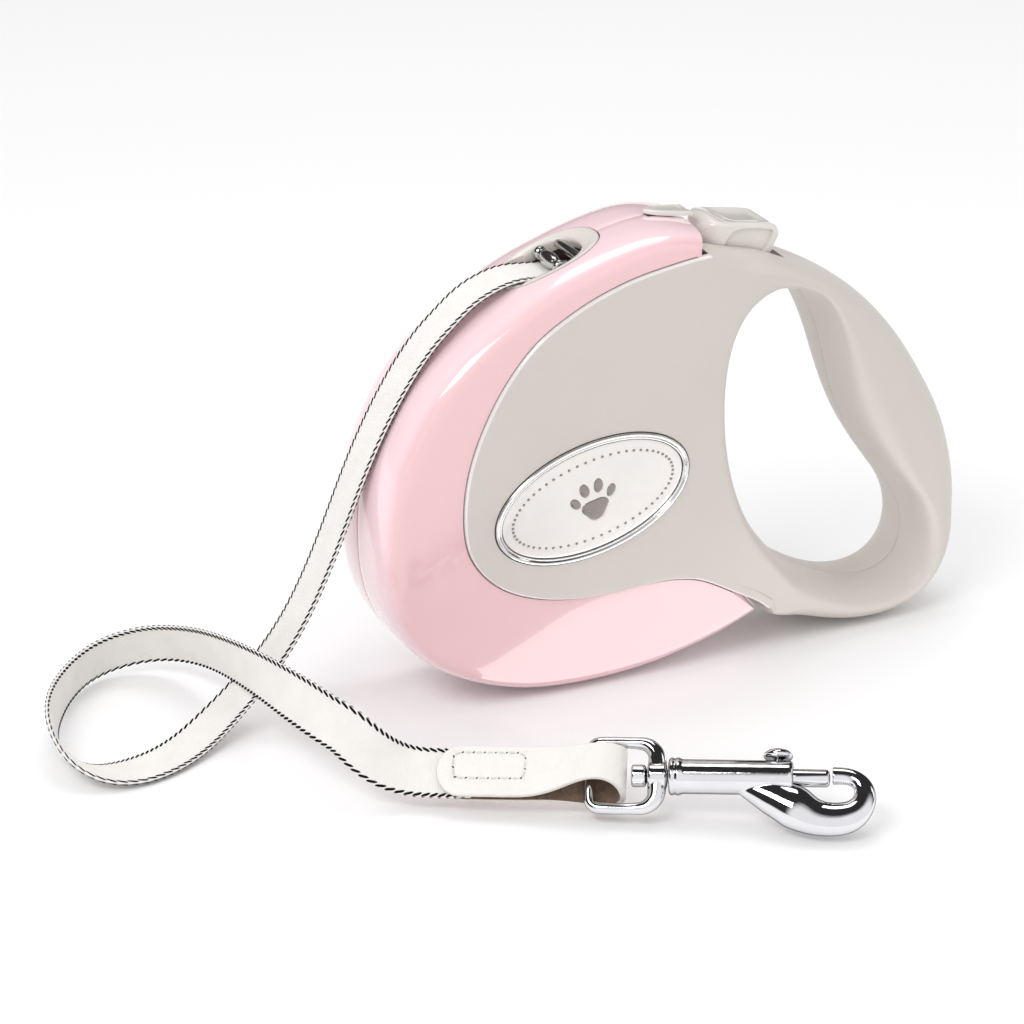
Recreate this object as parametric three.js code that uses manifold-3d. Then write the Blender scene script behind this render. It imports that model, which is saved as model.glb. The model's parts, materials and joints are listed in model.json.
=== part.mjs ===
// Retractable tape leash: moulded case with a pistol handle, spring spool, thumb brake,
// folded leather tab and a bolt snap. Millimetres, +Z up.
// X runs from the tape exit (-X) to the grip (+X), Y through the thickness; the left side is -Y.
// Origin: lowest point of the round case on its mid-plane; the case stands on z = 0.
import * as THREE from "three";
import { mergeVertices } from "three/addons/utils/BufferGeometryUtils.js";
import Module from "manifold-3d";

// ---- driving dimensions ----
const H_BODY = 16.2; // half thickness of the drum housing
const Y_PANEL = 17.1; // outer face of the side panel at the drum
const Y_GRIP = 13.5; // half thickness of the grip
const Y_RECESS = 14.9; // housing floor under the side panel
const Y_PANEL_UNDER = 15.2; // inner face of the side panel
const WALL = 2.2; // moulded wall
const Y_INSIDE = Y_RECESS - WALL; // inner face of the housing floor
const SPLIT = 0.15; // each half stops this far from the mid-plane
// Roundings: depth from the outline and superellipse power
const RIM = { depth: 6.5, power: 2.6 };
const GRIP = { depth: 9.5, power: 2.1 };
const SPOOL = {
  x: 3, z: 52, toothRadius: 36, rootRadius: 33.7, teeth: 16, flangeIn: 6.6, flangeOut: 8.4,
};
const TAPE = { width: 12, thickness: 0.9 };
// Oval badge: centre, outer half axes, tilt in degrees
const BADGE = { x: 14.2, z: 52.1, a: 26.4, b: 14.9, tilt: 12.8, bottom: 16.5 };
// Screw places [x, z], with the post around each and the seat of the head
const HOUSING_SCREWS = {
  places: [[-20, 85.6], [-26.8, 21], [36, 14.5]], postRadius: 3.3, postTop: 13.4, headY: 13.4,
};
const HANDLE_SCREWS = {
  places: [[101, 68.5], [116.7, 20.3]], postRadius: 3, postTop: 12.2, headY: 12,
};
// Moves the middle of the bounding box over the origin
const ROOT_SHIFT = [-1.6164, 35.1652, 0];

// ---- outlines, points [x, z] ----
// Drum housing on the mid-plane, from the top seam round the front to the bottom seam
const DRUM_OUTLINE = [
  [45,114.7],[41.4,115.5],[35.8,116.1],[30.1,115.6],[24.7,114.5],[16.6,112.2],[8.7,109.4],
  [2,106.7],[-4.7,103],[-12.6,97.9],[-20.5,91.5],[-28.1,83.4],[-34.4,73.1],[-38.6,63],
  [-40.3,52.4],[-40.5,46],[-40.2,39],[-38.7,31],[-35.7,23.6],[-31,16.9],[-28,13.6],[-23,9.8],
  [-16,6],[-8,3],[0,1.1],[8,0.25],[16,0],[25,0.4],[33,1.3],[40,2.7],[47,4.5],[52.5,6.2],
  [58,8.3],[63,10.4],
];
// Back wall of the drum housing, hidden under the covers, from the bottom up
const DRUM_BACK = [
  [59.5,15],[54.6,26],[51,38],[48.6,50],[47.3,63],[46.3,77],[45.6,91],[45.2,104],
];
// Side panel edge over the drum, from the bottom seam round the front to the top seam
const PANEL_EDGE = [
  [63.9,12],[60.8,14.6],[57.3,16.7],[53,19.2],[47.8,22.2],[43,24.3],[37.4,25.4],[30.4,25.7],
  [23.5,25.4],[16.7,25.4],[9.9,25.7],[3.1,26.8],[-3.7,28.9],[-9,31.6],[-13,34.8],[-16.2,38.6],
  [-18.7,43.6],[-19.8,50.1],[-19.7,56.8],[-18.5,64.2],[-16.3,71.2],[-13.4,77.6],[-10.2,83.3],
  [-6.4,88.6],[-2.3,93.2],[2.7,97.2],[8,100.3],[13.2,102.9],[18.4,104.9],[23.7,106.6],
  [29,107.8],[34.3,108.7],[39.7,109.5],[45.9,110],
];
// Handle on the mid-plane, from the top seam over the grip to the bottom seam
const HANDLE_OUTLINE = [
  [46.7,109.2],[54,107.9],[62,105.9],[68,103.5],[74.5,100.4],[81.5,97.2],[88.9,92.6],
  [96.9,85.8],[105.3,76.1],[112.7,64.6],[118.3,53.6],[121.6,43.3],[123.3,33],[123.3,24.3],
  [121.6,16.1],[117.6,9],[111.6,3.6],[104.5,0.9],[97,0],[90,0.6],[82.5,2.5],[74.4,5.2],
  [69.3,7.3],[65.7,9],
];
// Hand opening on the mid-plane
const HAND_OPENING = [
  [68.5,95.2],[74,93.8],[78.6,90.5],[82,85],[85,77],[87.6,67],[91,57],[96.5,47.5],[103,38.5],
  [108.3,31],[110.9,24.5],[111.3,18],[109,12.6],[103.5,9.4],[96,9.2],[88,11.5],[80,15.6],
  [72.5,21],[66.5,27.5],[61,35],[57,43.5],[54.2,53],[52.6,63],[52.2,72],[52.9,80],[55,87],
  [58.6,92],[63,94.6],
];

// ---- tape stations, every 6 mm from the exit into the leather tab ----
// Centre line [x, y, z]
const TAPE_CENTRES = [
  [5.2,0,106.2],[-0.81,0,106.35],[-6.64,0,104.9],[-12,0,102.22],[-16.67,0,98.44],
  [-21.09,0,94.43],[-25.06,0,89.94],[-28.62,0,85.11],[-31.87,0,80.06],[-34.86,0,74.84],
  [-37.62,0,69.5],[-40.19,0,64.06],[-42.6,0,58.55],[-44.91,0,52.99],[-47.22,0,47.44],
  [-49.64,0,41.92],[-52.21,0,36.49],[-54.98,0.02,31.15],[-58,0.14,25.96],[-61.23,0.54,20.93],
  [-64.71,1.15,16.1],[-68.59,1.51,11.61],[-72.99,1.25,7.69],[-77.77,0.01,4.62],
  [-82.73,-2.29,2.6],[-87.78,-5.22,1.63],[-93,-8.12,1.32],[-98.47,-10.34,1.26],
  [-104.11,-11.23,1.31],[-109.48,-10.2,1.77],[-113.78,-7.17,2.96],[-116.41,-2.6,4.63],
  [-117.24,2.79,6.12],[-116.45,8.44,6.96],[-114.5,14.03,7.14],[-111.87,19.42,6.94],
  [-108.78,24.59,6.71],[-105.23,29.47,6.59],[-101.13,33.88,6.61],[-96.39,37.36,6.85],
  [-91.09,39.07,7.36],[-85.75,38.56,8.22],[-81.2,35.88,9.36],[-77.94,31.44,10.7],
  [-75.82,26.05,12.17],[-74.46,20.36,13.68],[-73.51,14.57,15.08],[-72.79,8.73,16.33],
  [-72.18,2.84,17.46],[-71.62,-3.07,18.47],[-71.04,-8.99,19.34],[-70.36,-14.93,20.01],
  [-69.5,-20.86,20.41],[-68.36,-26.76,20.51],[-66.85,-32.54,20.2],[-64.79,-38.03,19.32],
  [-61.98,-42.94,17.74],[-58.54,-46.45,14.26],[-54.1,-48.62,10.57],[-48.91,-50.58,8.27],
  [-43.76,-53.28,7.8],[-38.63,-56.38,8.04],[-33.49,-59.47,8.29],
];
// Unit width direction [x, y, z]; the first 16 stations lie straight across
const TAPE_WIDTHS = [
  ...Array(16).fill([0, 1, 0]),
  [0,1,0.001],[0.003,1,0.008],[0.017,0.999,0.038],[0.038,0.996,0.084],[0.025,0.995,0.096],
  [-0.041,0.997,0.062],[-0.158,0.987,0.007],[-0.32,0.946,-0.05],[-0.459,0.886,-0.063],
  [-0.501,0.865,-0.035],[-0.444,0.896,0.001],[-0.282,0.959,0.025],[0.004,1,-0.001],
  [0.36,0.922,-0.145],[0.583,0.692,-0.427],[0.55,0.424,-0.719],[0.387,0.192,-0.902],
  [0.221,0.028,-0.975],[0.098,-0.052,-0.994],[0.019,-0.057,-0.998],[-0.035,-0.014,-0.999],
  [-0.077,0.052,-0.996],[-0.094,0.132,-0.987],[-0.049,0.224,-0.973],[0.088,0.285,-0.954],
  [0.267,0.253,-0.93],[0.405,0.126,-0.906],[0.443,-0.019,-0.896],[0.413,-0.119,-0.903],
  [0.349,-0.167,-0.922],[0.275,-0.176,-0.945],[0.202,-0.172,-0.964],[0.133,-0.165,-0.977],
  [0.061,-0.152,-0.986],[-0.015,-0.131,-0.991],[-0.099,-0.104,-0.99],[-0.191,-0.074,-0.979],
  [-0.278,-0.048,-0.959],[-0.348,-0.013,-0.937],[-0.395,0.033,-0.918],[-0.426,0.01,-0.905],
  [-0.445,-0.077,-0.892],[-0.435,-0.312,-0.845],[-0.377,-0.561,-0.737],[-0.347,-0.63,-0.694],
  [-0.347,-0.63,-0.694],[-0.347,-0.63,-0.694],
];

// ---- materials ----
const MATERIALS = {
  pink: { color: 0xf0c9d0, roughness: 0.22, metalness: 0 },
  grey: { color: 0xd2cbc4, roughness: 0.5, metalness: 0 },
  chrome: { color: 0xd8d9dc, roughness: 0.12, metalness: 1 },
  plate: { color: 0xf0ece7, roughness: 0.3, metalness: 0.2 },
  dark: { color: 0x2c2c2e, roughness: 0.6, metalness: 0 },
  steel: { color: 0xa9abae, roughness: 0.35, metalness: 1 },
  spring: { color: 0x8d9196, roughness: 0.4, metalness: 1 },
  tape: { color: 0xefedea, roughness: 0.85, metalness: 0 },
  leather: { color: 0xf4f2ee, roughness: 0.6, metalness: 0 },
  nylon: { color: 0xe2e0d8, roughness: 0.55, metalness: 0 },
  key: { color: 0xc9c4bd, roughness: 0.35, metalness: 0 },
  zinc: { color: 0x9a9ca0, roughness: 0.45, metalness: 1 },
};

// ---- meshes and solids ----
const wasm = await Module();
wasm.setup();
const { Manifold, Mesh: ManifoldMesh } = wasm;
const DEGREE = Math.PI / 180;
const FULL_TURN = 2 * Math.PI;
const vector = (point) => new THREE.Vector3(...point);

function indexedGeometry(positions, triangles) {
  const geometry = new THREE.BufferGeometry();
  geometry.setAttribute("position", new THREE.BufferAttribute(new Float32Array(positions), 3));
  geometry.setIndex(triangles);
  return geometry;
}

// Closed surface with its triangles turned outward, whichever way they were wound.
function outwardGeometry(points, triangles) {
  let volume = 0;
  for (let i = 0; i < triangles.length; i += 3) {
    const [a, b, c] = triangles.slice(i, i + 3).map((k) => points[k]);
    volume += a[0] * (b[1] * c[2] - b[2] * c[1])
      - a[1] * (b[0] * c[2] - b[2] * c[0])
      + a[2] * (b[0] * c[1] - b[1] * c[0]);
  }
  if (volume < 0) {
    for (let i = 0; i < triangles.length; i += 3) {
      [triangles[i + 1], triangles[i + 2]] = [triangles[i + 2], triangles[i + 1]];
    }
  }
  return indexedGeometry(points.flat(), triangles);
}

// Triangles of a flat ring of points.
function capTriangles(ring) {
  const corner = vector(ring[0]);
  const offsets = ring.map((point) => vector(point).sub(corner));
  const across = offsets[1].clone().normalize();
  const normal = new THREE.Vector3();
  offsets.forEach((offset, j) => {
    normal.add(offset.clone().cross(offsets[(j + 1) % ring.length]));
  });
  const up = normal.normalize().clone().cross(across);
  const flat = offsets.map((p) => new THREE.Vector2(p.dot(across), p.dot(up)));
  return THREE.ShapeUtils.triangulateShape(flat, []);
}

// Skin over a row of closed rings with the same number of points.
// ends: "loop", "fan" (a centre point each end) or "cap".
function skin(rings, ends, centres) {
  const size = rings[0].length;
  const count = rings.length;
  const points = rings.flat();
  const triangles = [];
  const spans = ends === "loop" ? count : count - 1;
  for (let i = 0; i < spans; i++) {
    const row = i * size;
    const nextRow = ((i + 1) % count) * size;
    for (let j = 0; j < size; j++) {
      const next = (j + 1) % size;
      triangles.push(row + j, row + next, nextRow + next);
      triangles.push(row + j, nextRow + next, nextRow + j);
    }
  }
  const lastRow = (count - 1) * size;
  if (ends === "fan") {
    const centre = points.length;
    points.push(...centres);
    for (let j = 0; j < size; j++) {
      const next = (j + 1) % size;
      triangles.push(centre, next, j, centre + 1, lastRow + j, lastRow + next);
    }
  }
  if (ends === "cap") {
    for (const [a, b, c] of capTriangles(rings[0])) triangles.push(a, c, b);
    for (const face of capTriangles(rings[count - 1])) {
      triangles.push(...face.map((k) => lastRow + k));
    }
  }
  return outwardGeometry(points, triangles);
}

function solid(geometry) {
  const merged = mergeVertices(geometry, 1e-4);
  return new Manifold(new ManifoldMesh({
    numProp: 3,
    vertProperties: new Float32Array(merged.attributes.position.array),
    triVerts: new Uint32Array(merged.index.array),
  }));
}

// Edges under 0.03 mm, left where cuts graze an edge, are closed up to one point.
function solidGeometry(manifold) {
  const { numVert, numProp, vertProperties, triVerts } = manifold.getMesh();
  const coords = new Float32Array(numVert * 3);
  for (let i = 0; i < numVert; i++) {
    coords.set(vertProperties.subarray(i * numProp, i * numProp + 3), i * 3);
  }
  const target = Array.from({ length: numVert }, (_, i) => i);
  const find = (i) => {
    while (target[i] !== i) i = target[i];
    return i;
  };
  const gap = (a, b) => Math.hypot(...[0, 1, 2].map((k) => coords[3 * a + k] - coords[3 * b + k]));
  for (let i = 0; i < triVerts.length; i += 3) {
    for (let k = 0; k < 3; k++) {
      const a = triVerts[i + k];
      const b = triVerts[i + ((k + 1) % 3)];
      const p = find(a);
      const q = find(b);
      if (p !== q && gap(p, q) < 0.03) target[Math.max(p, q)] = Math.min(p, q);
    }
  }
  const triangles = [];
  for (let i = 0; i < triVerts.length; i += 3) {
    const [a, b, c] = [0, 1, 2].map((k) => find(triVerts[i + k]));
    if (a !== b && b !== c && c !== a) triangles.push(a, b, c);
  }
  return indexedGeometry(coords, triangles);
}

const root = new THREE.Group();
root.name = "retractable_leash";
root.position.set(...ROOT_SHIFT);

function addPart(name, shape, material) {
  const geometry = shape.isBufferGeometry ? shape : solidGeometry(shape);
  geometry.computeVertexNormals();
  const mesh = new THREE.Mesh(geometry, new THREE.MeshStandardMaterial(MATERIALS[material]));
  mesh.name = name;
  root.add(mesh);
}

// ---- shape makers; a frame is an origin and three axes a, b, c ----
const frameAt = (origin, ...axes) => ({ origin, axes });
const inFrame = ({ origin, axes }, a, b, c) =>
  origin.map((start, k) => start + axes[0][k] * a + axes[1][k] * b + axes[2][k] * c);
// Frame with a along X, b along Z and c along Y
const planFrame = (x, z) => frameAt([x, 0, z], [1, 0, 0], [0, 0, 1], [0, 1, 0]);

// Points at equal angles round a full turn.
const around = (count, pointAt) =>
  Array.from({ length: count }, (_, i) => pointAt((i / count) * FULL_TURN));

// Prism of an [a, b] polygon, pushed along c.
const prism = (frame, polygon, c0, c1) =>
  skin([c0, c1].map((c) => polygon.map(([a, b]) => inFrame(frame, a, b, c))), "cap");
// Prism of an [x, z] polygon along Y.
const prismY = (polygon, y0, y1) => prism(planFrame(0, 0), polygon, y0, y1);
const solidBox = (x0, x1, y0, y1, z0, z1) =>
  solid(prismY([[x0, z0], [x1, z0], [x1, z1], [x0, z1]], y0, y1));

// Body of [radius, height] points turned about c; closed by centre points or as a hollow ring.
function turned(frame, profile, segments) {
  const start = profile[0];
  const end = profile[profile.length - 1];
  const onAxis = start[0] === 0 && end[0] === 0;
  const rings = (onAxis ? profile.slice(1, -1) : profile).map(([radius, height]) =>
    around(segments, (t) =>
      inFrame(frame, radius * Math.cos(t), radius * Math.sin(t), height)));
  if (!onAxis) return skin(rings, "loop");
  return skin(rings, "fan", [inFrame(frame, 0, 0, start[1]), inFrame(frame, 0, 0, end[1])]);
}
const rod = (frame, radius, c0, c1, segments) =>
  turned(frame, [[0, c0], [radius, c0], [radius, c1], [0, c1]], segments);
const rodY = (x, z, radius, y0, y1, segments) => rod(planFrame(x, z), radius, y0, y1, segments);
const post = (x, z, radius, y0, y1) => solid(rodY(x, z, radius, y0, y1, 14));

// Unit normal of a 2D path at point i.
function pathNormal(path, i, closed) {
  const count = path.length;
  const before = path[closed ? (i - 1 + count) % count : Math.max(0, i - 1)];
  const after = path[closed ? (i + 1) % count : Math.min(count - 1, i + 1)];
  const da = after[0] - before[0];
  const db = after[1] - before[1];
  const length = Math.hypot(da, db);
  return [-db / length, da / length];
}

// Wire along [a, b, radius] points; squash flattens it along c.
function wire(frame, path, { squash, segments, closed }) {
  const rings = path.map(([a, b, radius], i) => {
    const [na, nb] = pathNormal(path, i, closed);
    return around(segments, (t) => {
      const out = radius * Math.cos(t);
      return inFrame(frame, a + na * out, b + nb * out, radius * squash * Math.sin(t));
    });
  });
  return skin(rings, closed ? "loop" : "cap");
}

// Coil of five-sided wire about c.
function coil(frame, { radius, wireRadius, c0, c1, turns, perTurn }) {
  const steps = Math.round(turns * perTurn);
  const rings = [];
  for (let i = 0; i <= steps; i++) {
    const t = (i / perTurn) * FULL_TURN;
    const height = c0 + ((c1 - c0) * i) / steps;
    rings.push(around(5, (u) => {
      const r = radius + wireRadius * Math.cos(u);
      return inFrame(frame, r * Math.cos(t), r * Math.sin(t), height + wireRadius * Math.sin(u));
    }));
  }
  return skin(rings, "cap");
}

// ---- rays from a centre to an outline ----
// Furthest distance at which the ray from centre through point meets an outline.
function rayReach(centre, point, outline, closed) {
  const dx = point[0] - centre[0];
  const dz = point[1] - centre[1];
  const length = Math.hypot(dx, dz);
  let best = 0;
  for (let i = 0; i < outline.length - (closed ? 0 : 1); i++) {
    const a = outline[i];
    const b = outline[(i + 1) % outline.length];
    const ex = b[0] - a[0];
    const ez = b[1] - a[1];
    const det = dx * ez - dz * ex;
    if (Math.abs(det) < 1e-9) continue;
    const alongRay = ((a[0] - centre[0]) * ez - (a[1] - centre[1]) * ex) / det;
    const alongEdge = ((a[0] - centre[0]) * dz - (a[1] - centre[1]) * dx) / det;
    if (alongRay > 0 && alongEdge >= -1e-6 && alongEdge <= 1 + 1e-6) {
      best = Math.max(best, alongRay * length);
    }
  }
  return best;
}

// Ray to outline point i. stretch turns a depth square to the outline into one along the ray.
function rayTo(centre, outline, i, closed, minCosine) {
  const dx = outline[i][0] - centre[0];
  const dz = outline[i][1] - centre[1];
  const radius = Math.hypot(dx, dz);
  const ux = dx / radius;
  const uz = dz / radius;
  const [nx, nz] = pathNormal(outline, i, closed);
  const stretch = 1 / Math.max(minCosine, Math.abs(ux * nx + uz * nz));
  return { radius, ux, uz, stretch };
}

// Superellipse rounding: depth at a share of the height, and height at a share of the depth.
const depthAt = (height, power) => 1 - Math.pow(1 - Math.pow(height, power), 1 / power);
const heightAt = (depth, power) =>
  Math.pow(1 - Math.pow(Math.max(0, 1 - depth), power), 1 / power);
const smooth = (value) => {
  const t = Math.min(1, Math.max(0, value));
  return t * t * (3 - 2 * t);
};

// ---- drum housing half; side is -1 left, 1 right ----
function housingBlank(side) {
  const centre = [10, 58];
  const outline = DRUM_OUTLINE.concat(DRUM_BACK);
  const rays = outline.map((point, i) => {
    const back = i === 0 || i >= DRUM_OUTLINE.length - 1;
    const panelRadius = back ? 0 : rayReach(centre, point, PANEL_EDGE, false);
    return { ...rayTo(centre, outline, i, true, 0.62), back, panelRadius };
  });
  const ring = (profileAt) => rays.map((ray) => {
    const [r, y] = profileAt(ray);
    return [centre[0] + ray.ux * r, side * y, centre[1] + ray.uz * r];
  });
  const rimHeight = (ray, r) => heightAt((ray.radius - r) / ray.stretch / RIM.depth, RIM.power);
  const rings = [];
  // Inside of the wall, from the floor to the split: [depth, y]
  for (const [depth, y] of [[6.4, Y_INSIDE], [4.4, 12.1], [2.6, 9.4], [WALL, SPLIT]]) {
    const backDepth = 1.7 + (depth - WALL) * 0.35;
    rings.push(ring(({ radius, stretch, back }) =>
      [radius - (back ? backDepth : depth) * stretch, y]));
  }
  // Outside, from the split up the rounding, kept clear of the panel edge
  for (const share of [0, 0.36, 0.62, 0.8, 0.92, 1]) {
    const depth = depthAt(share, RIM.power);
    rings.push(ring((ray) => {
      const { radius, stretch } = ray;
      if (ray.back) return [radius - depth * 2.4 * stretch, Math.max(SPLIT, share * Y_RECESS)];
      const panelLimit = ray.panelRadius + (1 - share) * 0.4 + 0.05;
      const r = Math.max(radius - depth * RIM.depth * stretch, panelLimit);
      return [r, Math.max(SPLIT, Math.min(share, rimHeight(ray, r)) * H_BODY)];
    }));
  }
  // Step down at the panel edge to the recess floor
  rings.push(ring((ray) => (ray.back
    ? [ray.radius - 2.7 * ray.stretch, Y_RECESS]
    : [ray.panelRadius, rimHeight(ray, ray.panelRadius) * H_BODY])));
  rings.push(ring((ray) =>
    [ray.back ? ray.radius - 3 * ray.stretch : ray.panelRadius - 0.02, Y_RECESS]));
  const centres = [Y_INSIDE, Y_RECESS].map((y) => [centre[0], side * y, centre[1]]);
  return solid(skin(rings, "fan", centres));
}

// ---- cover half: side panel and handle round the hand opening ----
const COVER_CENTRE = [79, 52];
const ROUND_SHARES = [0, 0.45, 0.75, 0.93, 1];

// Closed section on the ray to outline point i, from the outer edge to the hand opening and back.
function coverSection(outline, i, panel, side) {
  const point = outline[i];
  const { radius, ux, uz, stretch } = rayTo(COVER_CENTRE, outline, i, false, 0.6);
  const holeRadius = rayReach(COVER_CENTRE, point, HAND_OPENING, true);
  const width = radius - holeRadius;
  const toGrip = smooth((point[0] - 50) / 50);
  const power = RIM.power + (GRIP.power - RIM.power) * toGrip;
  const rimDepth = (RIM.depth + (GRIP.depth - RIM.depth) * toGrip) * stretch;
  const outerDepth = Math.min(rimDepth, 0.46 * width);
  const holeX = COVER_CENTRE[0] + ux * holeRadius;
  const holeDepth = Math.min(4.5 + 5 * smooth((holeX - 60) / 35), 0.46 * width);
  const heightOn = (r) =>
    Y_PANEL - (Y_PANEL - Y_GRIP) * smooth((COVER_CENTRE[0] + ux * r - 50) / 55);
  const underside = (r) => (panel ? Y_PANEL_UNDER : heightOn(r) - WALL);
  const profile = []; // [radius, y]
  const addRounded = (share, r) => profile.push([r, Math.max(SPLIT, share * heightOn(r))]);

  if (panel) {
    const edge = [[0.35, Y_PANEL_UNDER], [0.35, 16], [0.55, 16.75], [1.2, Y_PANEL], [2.6, Y_PANEL]];
    for (const [depth, y] of edge) profile.push([radius - depth * stretch, y]);
  } else {
    for (const share of ROUND_SHARES) {
      addRounded(share, radius - depthAt(share, power) * outerDepth);
    }
  }
  for (const share of [...ROUND_SHARES].reverse()) {
    addRounded(share, holeRadius + depthAt(share, power) * holeDepth);
  }
  const holeWall = holeRadius + Math.min(WALL, 0.3 * width);
  const holeTop = holeWall + 0.42 * holeDepth;
  profile.push([holeWall, SPLIT]);
  profile.push([holeWall + 0.15, 0.5 * heightOn(holeRadius)]);
  profile.push([holeTop, underside(holeTop)]);
  if (panel) {
    const edgeRadius = radius - 0.35 * stretch;
    for (const share of [0.35, 0.65, 0.88]) {
      profile.push([holeTop + (edgeRadius - holeTop) * share, Y_PANEL_UNDER]);
    }
  } else {
    const outerWall = radius - Math.min(WALL * stretch, 0.3 * width);
    const outerTop = outerWall - 0.42 * outerDepth;
    profile.push([outerTop, underside(outerTop)]);
    profile.push([outerWall - 0.15, 0.5 * heightOn(radius)]);
    profile.push([outerWall, SPLIT]);
  }
  return profile.map(([r, y]) => [COVER_CENTRE[0] + ux * r, side * y, COVER_CENTRE[1] + uz * r]);
}

function coverBlank(side) {
  const panel = PANEL_EDGE.map((_, i) => coverSection(PANEL_EDGE, i, true, side));
  const handle = HANDLE_OUTLINE.map((_, i) => coverSection(HANDLE_OUTLINE, i, false, side));
  return solid(skin([...panel, ...handle], "loop"));
}

// ---- case: posts, holes, openings and badges ----
// Exit frame: a along the oval, b across (Y), c outward from the rim
const EXIT_FRAME = frameAt([9.3, 0, 109.4], [0.936, 0, 0.352], [0, 1, 0], [-0.352, 0, 0.936]);
const superOval = (a, b, count) => around(count, (t) => {
  const stretched = (value) => Math.sign(value) * Math.abs(value) ** (2 / 2.3);
  return [a * stretched(Math.cos(t)), b * stretched(Math.sin(t))];
});
const exitCut = solid(prism(EXIT_FRAME, superOval(14.3, 9.1, 32), -5, 5));
const sideWindow = solidBox(41.5, 49.5, 5.6, 9.4, 87, 104);
const lockSlot = solidBox(35.8, 42.6, -1.8, 1.8, 105, 119);
const buttonWell = solidBox(47.9, 70.8, -7.3, 7.3, 98.9, 125);

function addScrewPosts(body, { places, postRadius, postTop }, side) {
  for (const [x, z] of places) {
    body = body.add(post(x, z, postRadius, side * 0.6, side * postTop));
  }
  return body;
}

// Blind holes on the left; through holes with head wells on the right.
function cutScrewHoles(body, { places, headY }, side) {
  for (const [x, z] of places) {
    const hole = side < 0
      ? post(x, z, 1.75, -9, 1)
      : post(x, z, 1.75, -1, 18).add(post(x, z, 2.9, headY - 0.3, 20));
    body = body.subtract(hole);
  }
  return body;
}

function housing(side) {
  let body = housingBlank(side);
  body = body.add(post(SPOOL.x, SPOOL.z, 7, side * 9.2, side * 13.4)); // axle seat
  body = addScrewPosts(body, HOUSING_SCREWS, side);
  body = body.subtract(post(SPOOL.x, SPOOL.z, 4.2, side * 8.5, side * 12.8));
  body = cutScrewHoles(body, HOUSING_SCREWS, side).subtract(exitCut).subtract(lockSlot);
  return side > 0 ? body.subtract(sideWindow) : body;
}

// Oval prism, its outline offset from the badge's.
function badgePrism(offset, y0, y1) {
  const cos = Math.cos(BADGE.tilt * DEGREE);
  const sin = Math.sin(BADGE.tilt * DEGREE);
  const oval = around(36, (t) => {
    const a = (BADGE.a + offset) * Math.cos(t);
    const b = (BADGE.b + offset) * Math.sin(t);
    return [BADGE.x + a * cos - b * sin, BADGE.z + a * sin + b * cos];
  });
  return prismY(oval, y0, y1);
}

function cover(side) {
  const body = addScrewPosts(coverBlank(side), HANDLE_SCREWS, side);
  return cutScrewHoles(body, HANDLE_SCREWS, side)
    .subtract(buttonWell)
    .subtract(solid(badgePrism(0.3, side * 16.2, side * 19)));
}

const badgeRing = (side) => solid(badgePrism(0, side * BADGE.bottom, side * 17.9))
  .subtract(solid(badgePrism(-1.5, side * 15, side * 20)));

for (const [name, side] of [["left", -1], ["right", 1]]) {
  addPart(`shell_${name}`, housing(side), "pink");
  addPart(`cover_${name}`, cover(side), "grey");
  addPart(`badge_ring_${name}`, badgeRing(side), "chrome");
  addPart(`badge_plate_${name}`, badgePrism(-1.8, side * BADGE.bottom, side * 17.35), "plate");
}

// Screws, driven in from the right side
const caseScrew = (x, z, headY) => turned(planFrame(x, z), [
  [0, -6], [1.45, -6], [1.45, headY], [2.6, headY], [2.6, headY + 1], [1.5, headY + 1.5],
  [0, headY + 0.9],
], 14);
[HOUSING_SCREWS, HANDLE_SCREWS]
  .flatMap(({ places, headY }) => places.map(([x, z]) => caseScrew(x, z, headY)))
  .forEach((screw, i) => addPart(`case_screw_${i + 1}`, screw, "zinc"));

// ---- tape exit ----
const ROLLER = { x: 10.5, z: 108.4, radius: 2, bore: 0.95, pinRadius: 0.7 };
const GUIDE = { x: 15.6, z: 109.9, radius: 1.25 };

function exitBezel() {
  return solid(prism(EXIT_FRAME, superOval(14, 8.8, 32), -3.2, 0.4))
    .subtract(solid(prism(EXIT_FRAME, superOval(8.3, 6.75, 20), -6, 3)))
    .subtract(solidBox(-9, 6, -6.7, 6.7, 105.35, 112))
    .subtract(post(ROLLER.x, ROLLER.z, ROLLER.bore, -8.2, 8.2))
    .subtract(post(GUIDE.x, GUIDE.z, GUIDE.radius + 0.2, -7.5, 7.5));
}
const exitRoller = () => solid(rodY(ROLLER.x, ROLLER.z, ROLLER.radius, -6.3, 6.3, 18))
  .subtract(post(ROLLER.x, ROLLER.z, ROLLER.bore, -8, 8));
const guideRamp = () =>
  prismY([[12, 104.5], [30, 102.75], [30, 101.1], [12, 102.7]], -6.8, 6.8);

addPart("exit_bezel", exitBezel(), "grey");
addPart("exit_roller", exitRoller(), "chrome");
addPart("roller_pin", rodY(ROLLER.x, ROLLER.z, ROLLER.pinRadius, -8, 8, 12), "steel");
addPart("guide_pin", rodY(GUIDE.x, GUIDE.z, GUIDE.radius, -7.3, 7.3, 14), "chrome");
addPart("guide_ramp", guideRamp(), "dark");

// ---- spool, spring and axle ----
const SPOOL_FRAME = planFrame(SPOOL.x, SPOOL.z);
const polar = (radius, t) => [radius * Math.cos(t), radius * Math.sin(t)];

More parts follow.
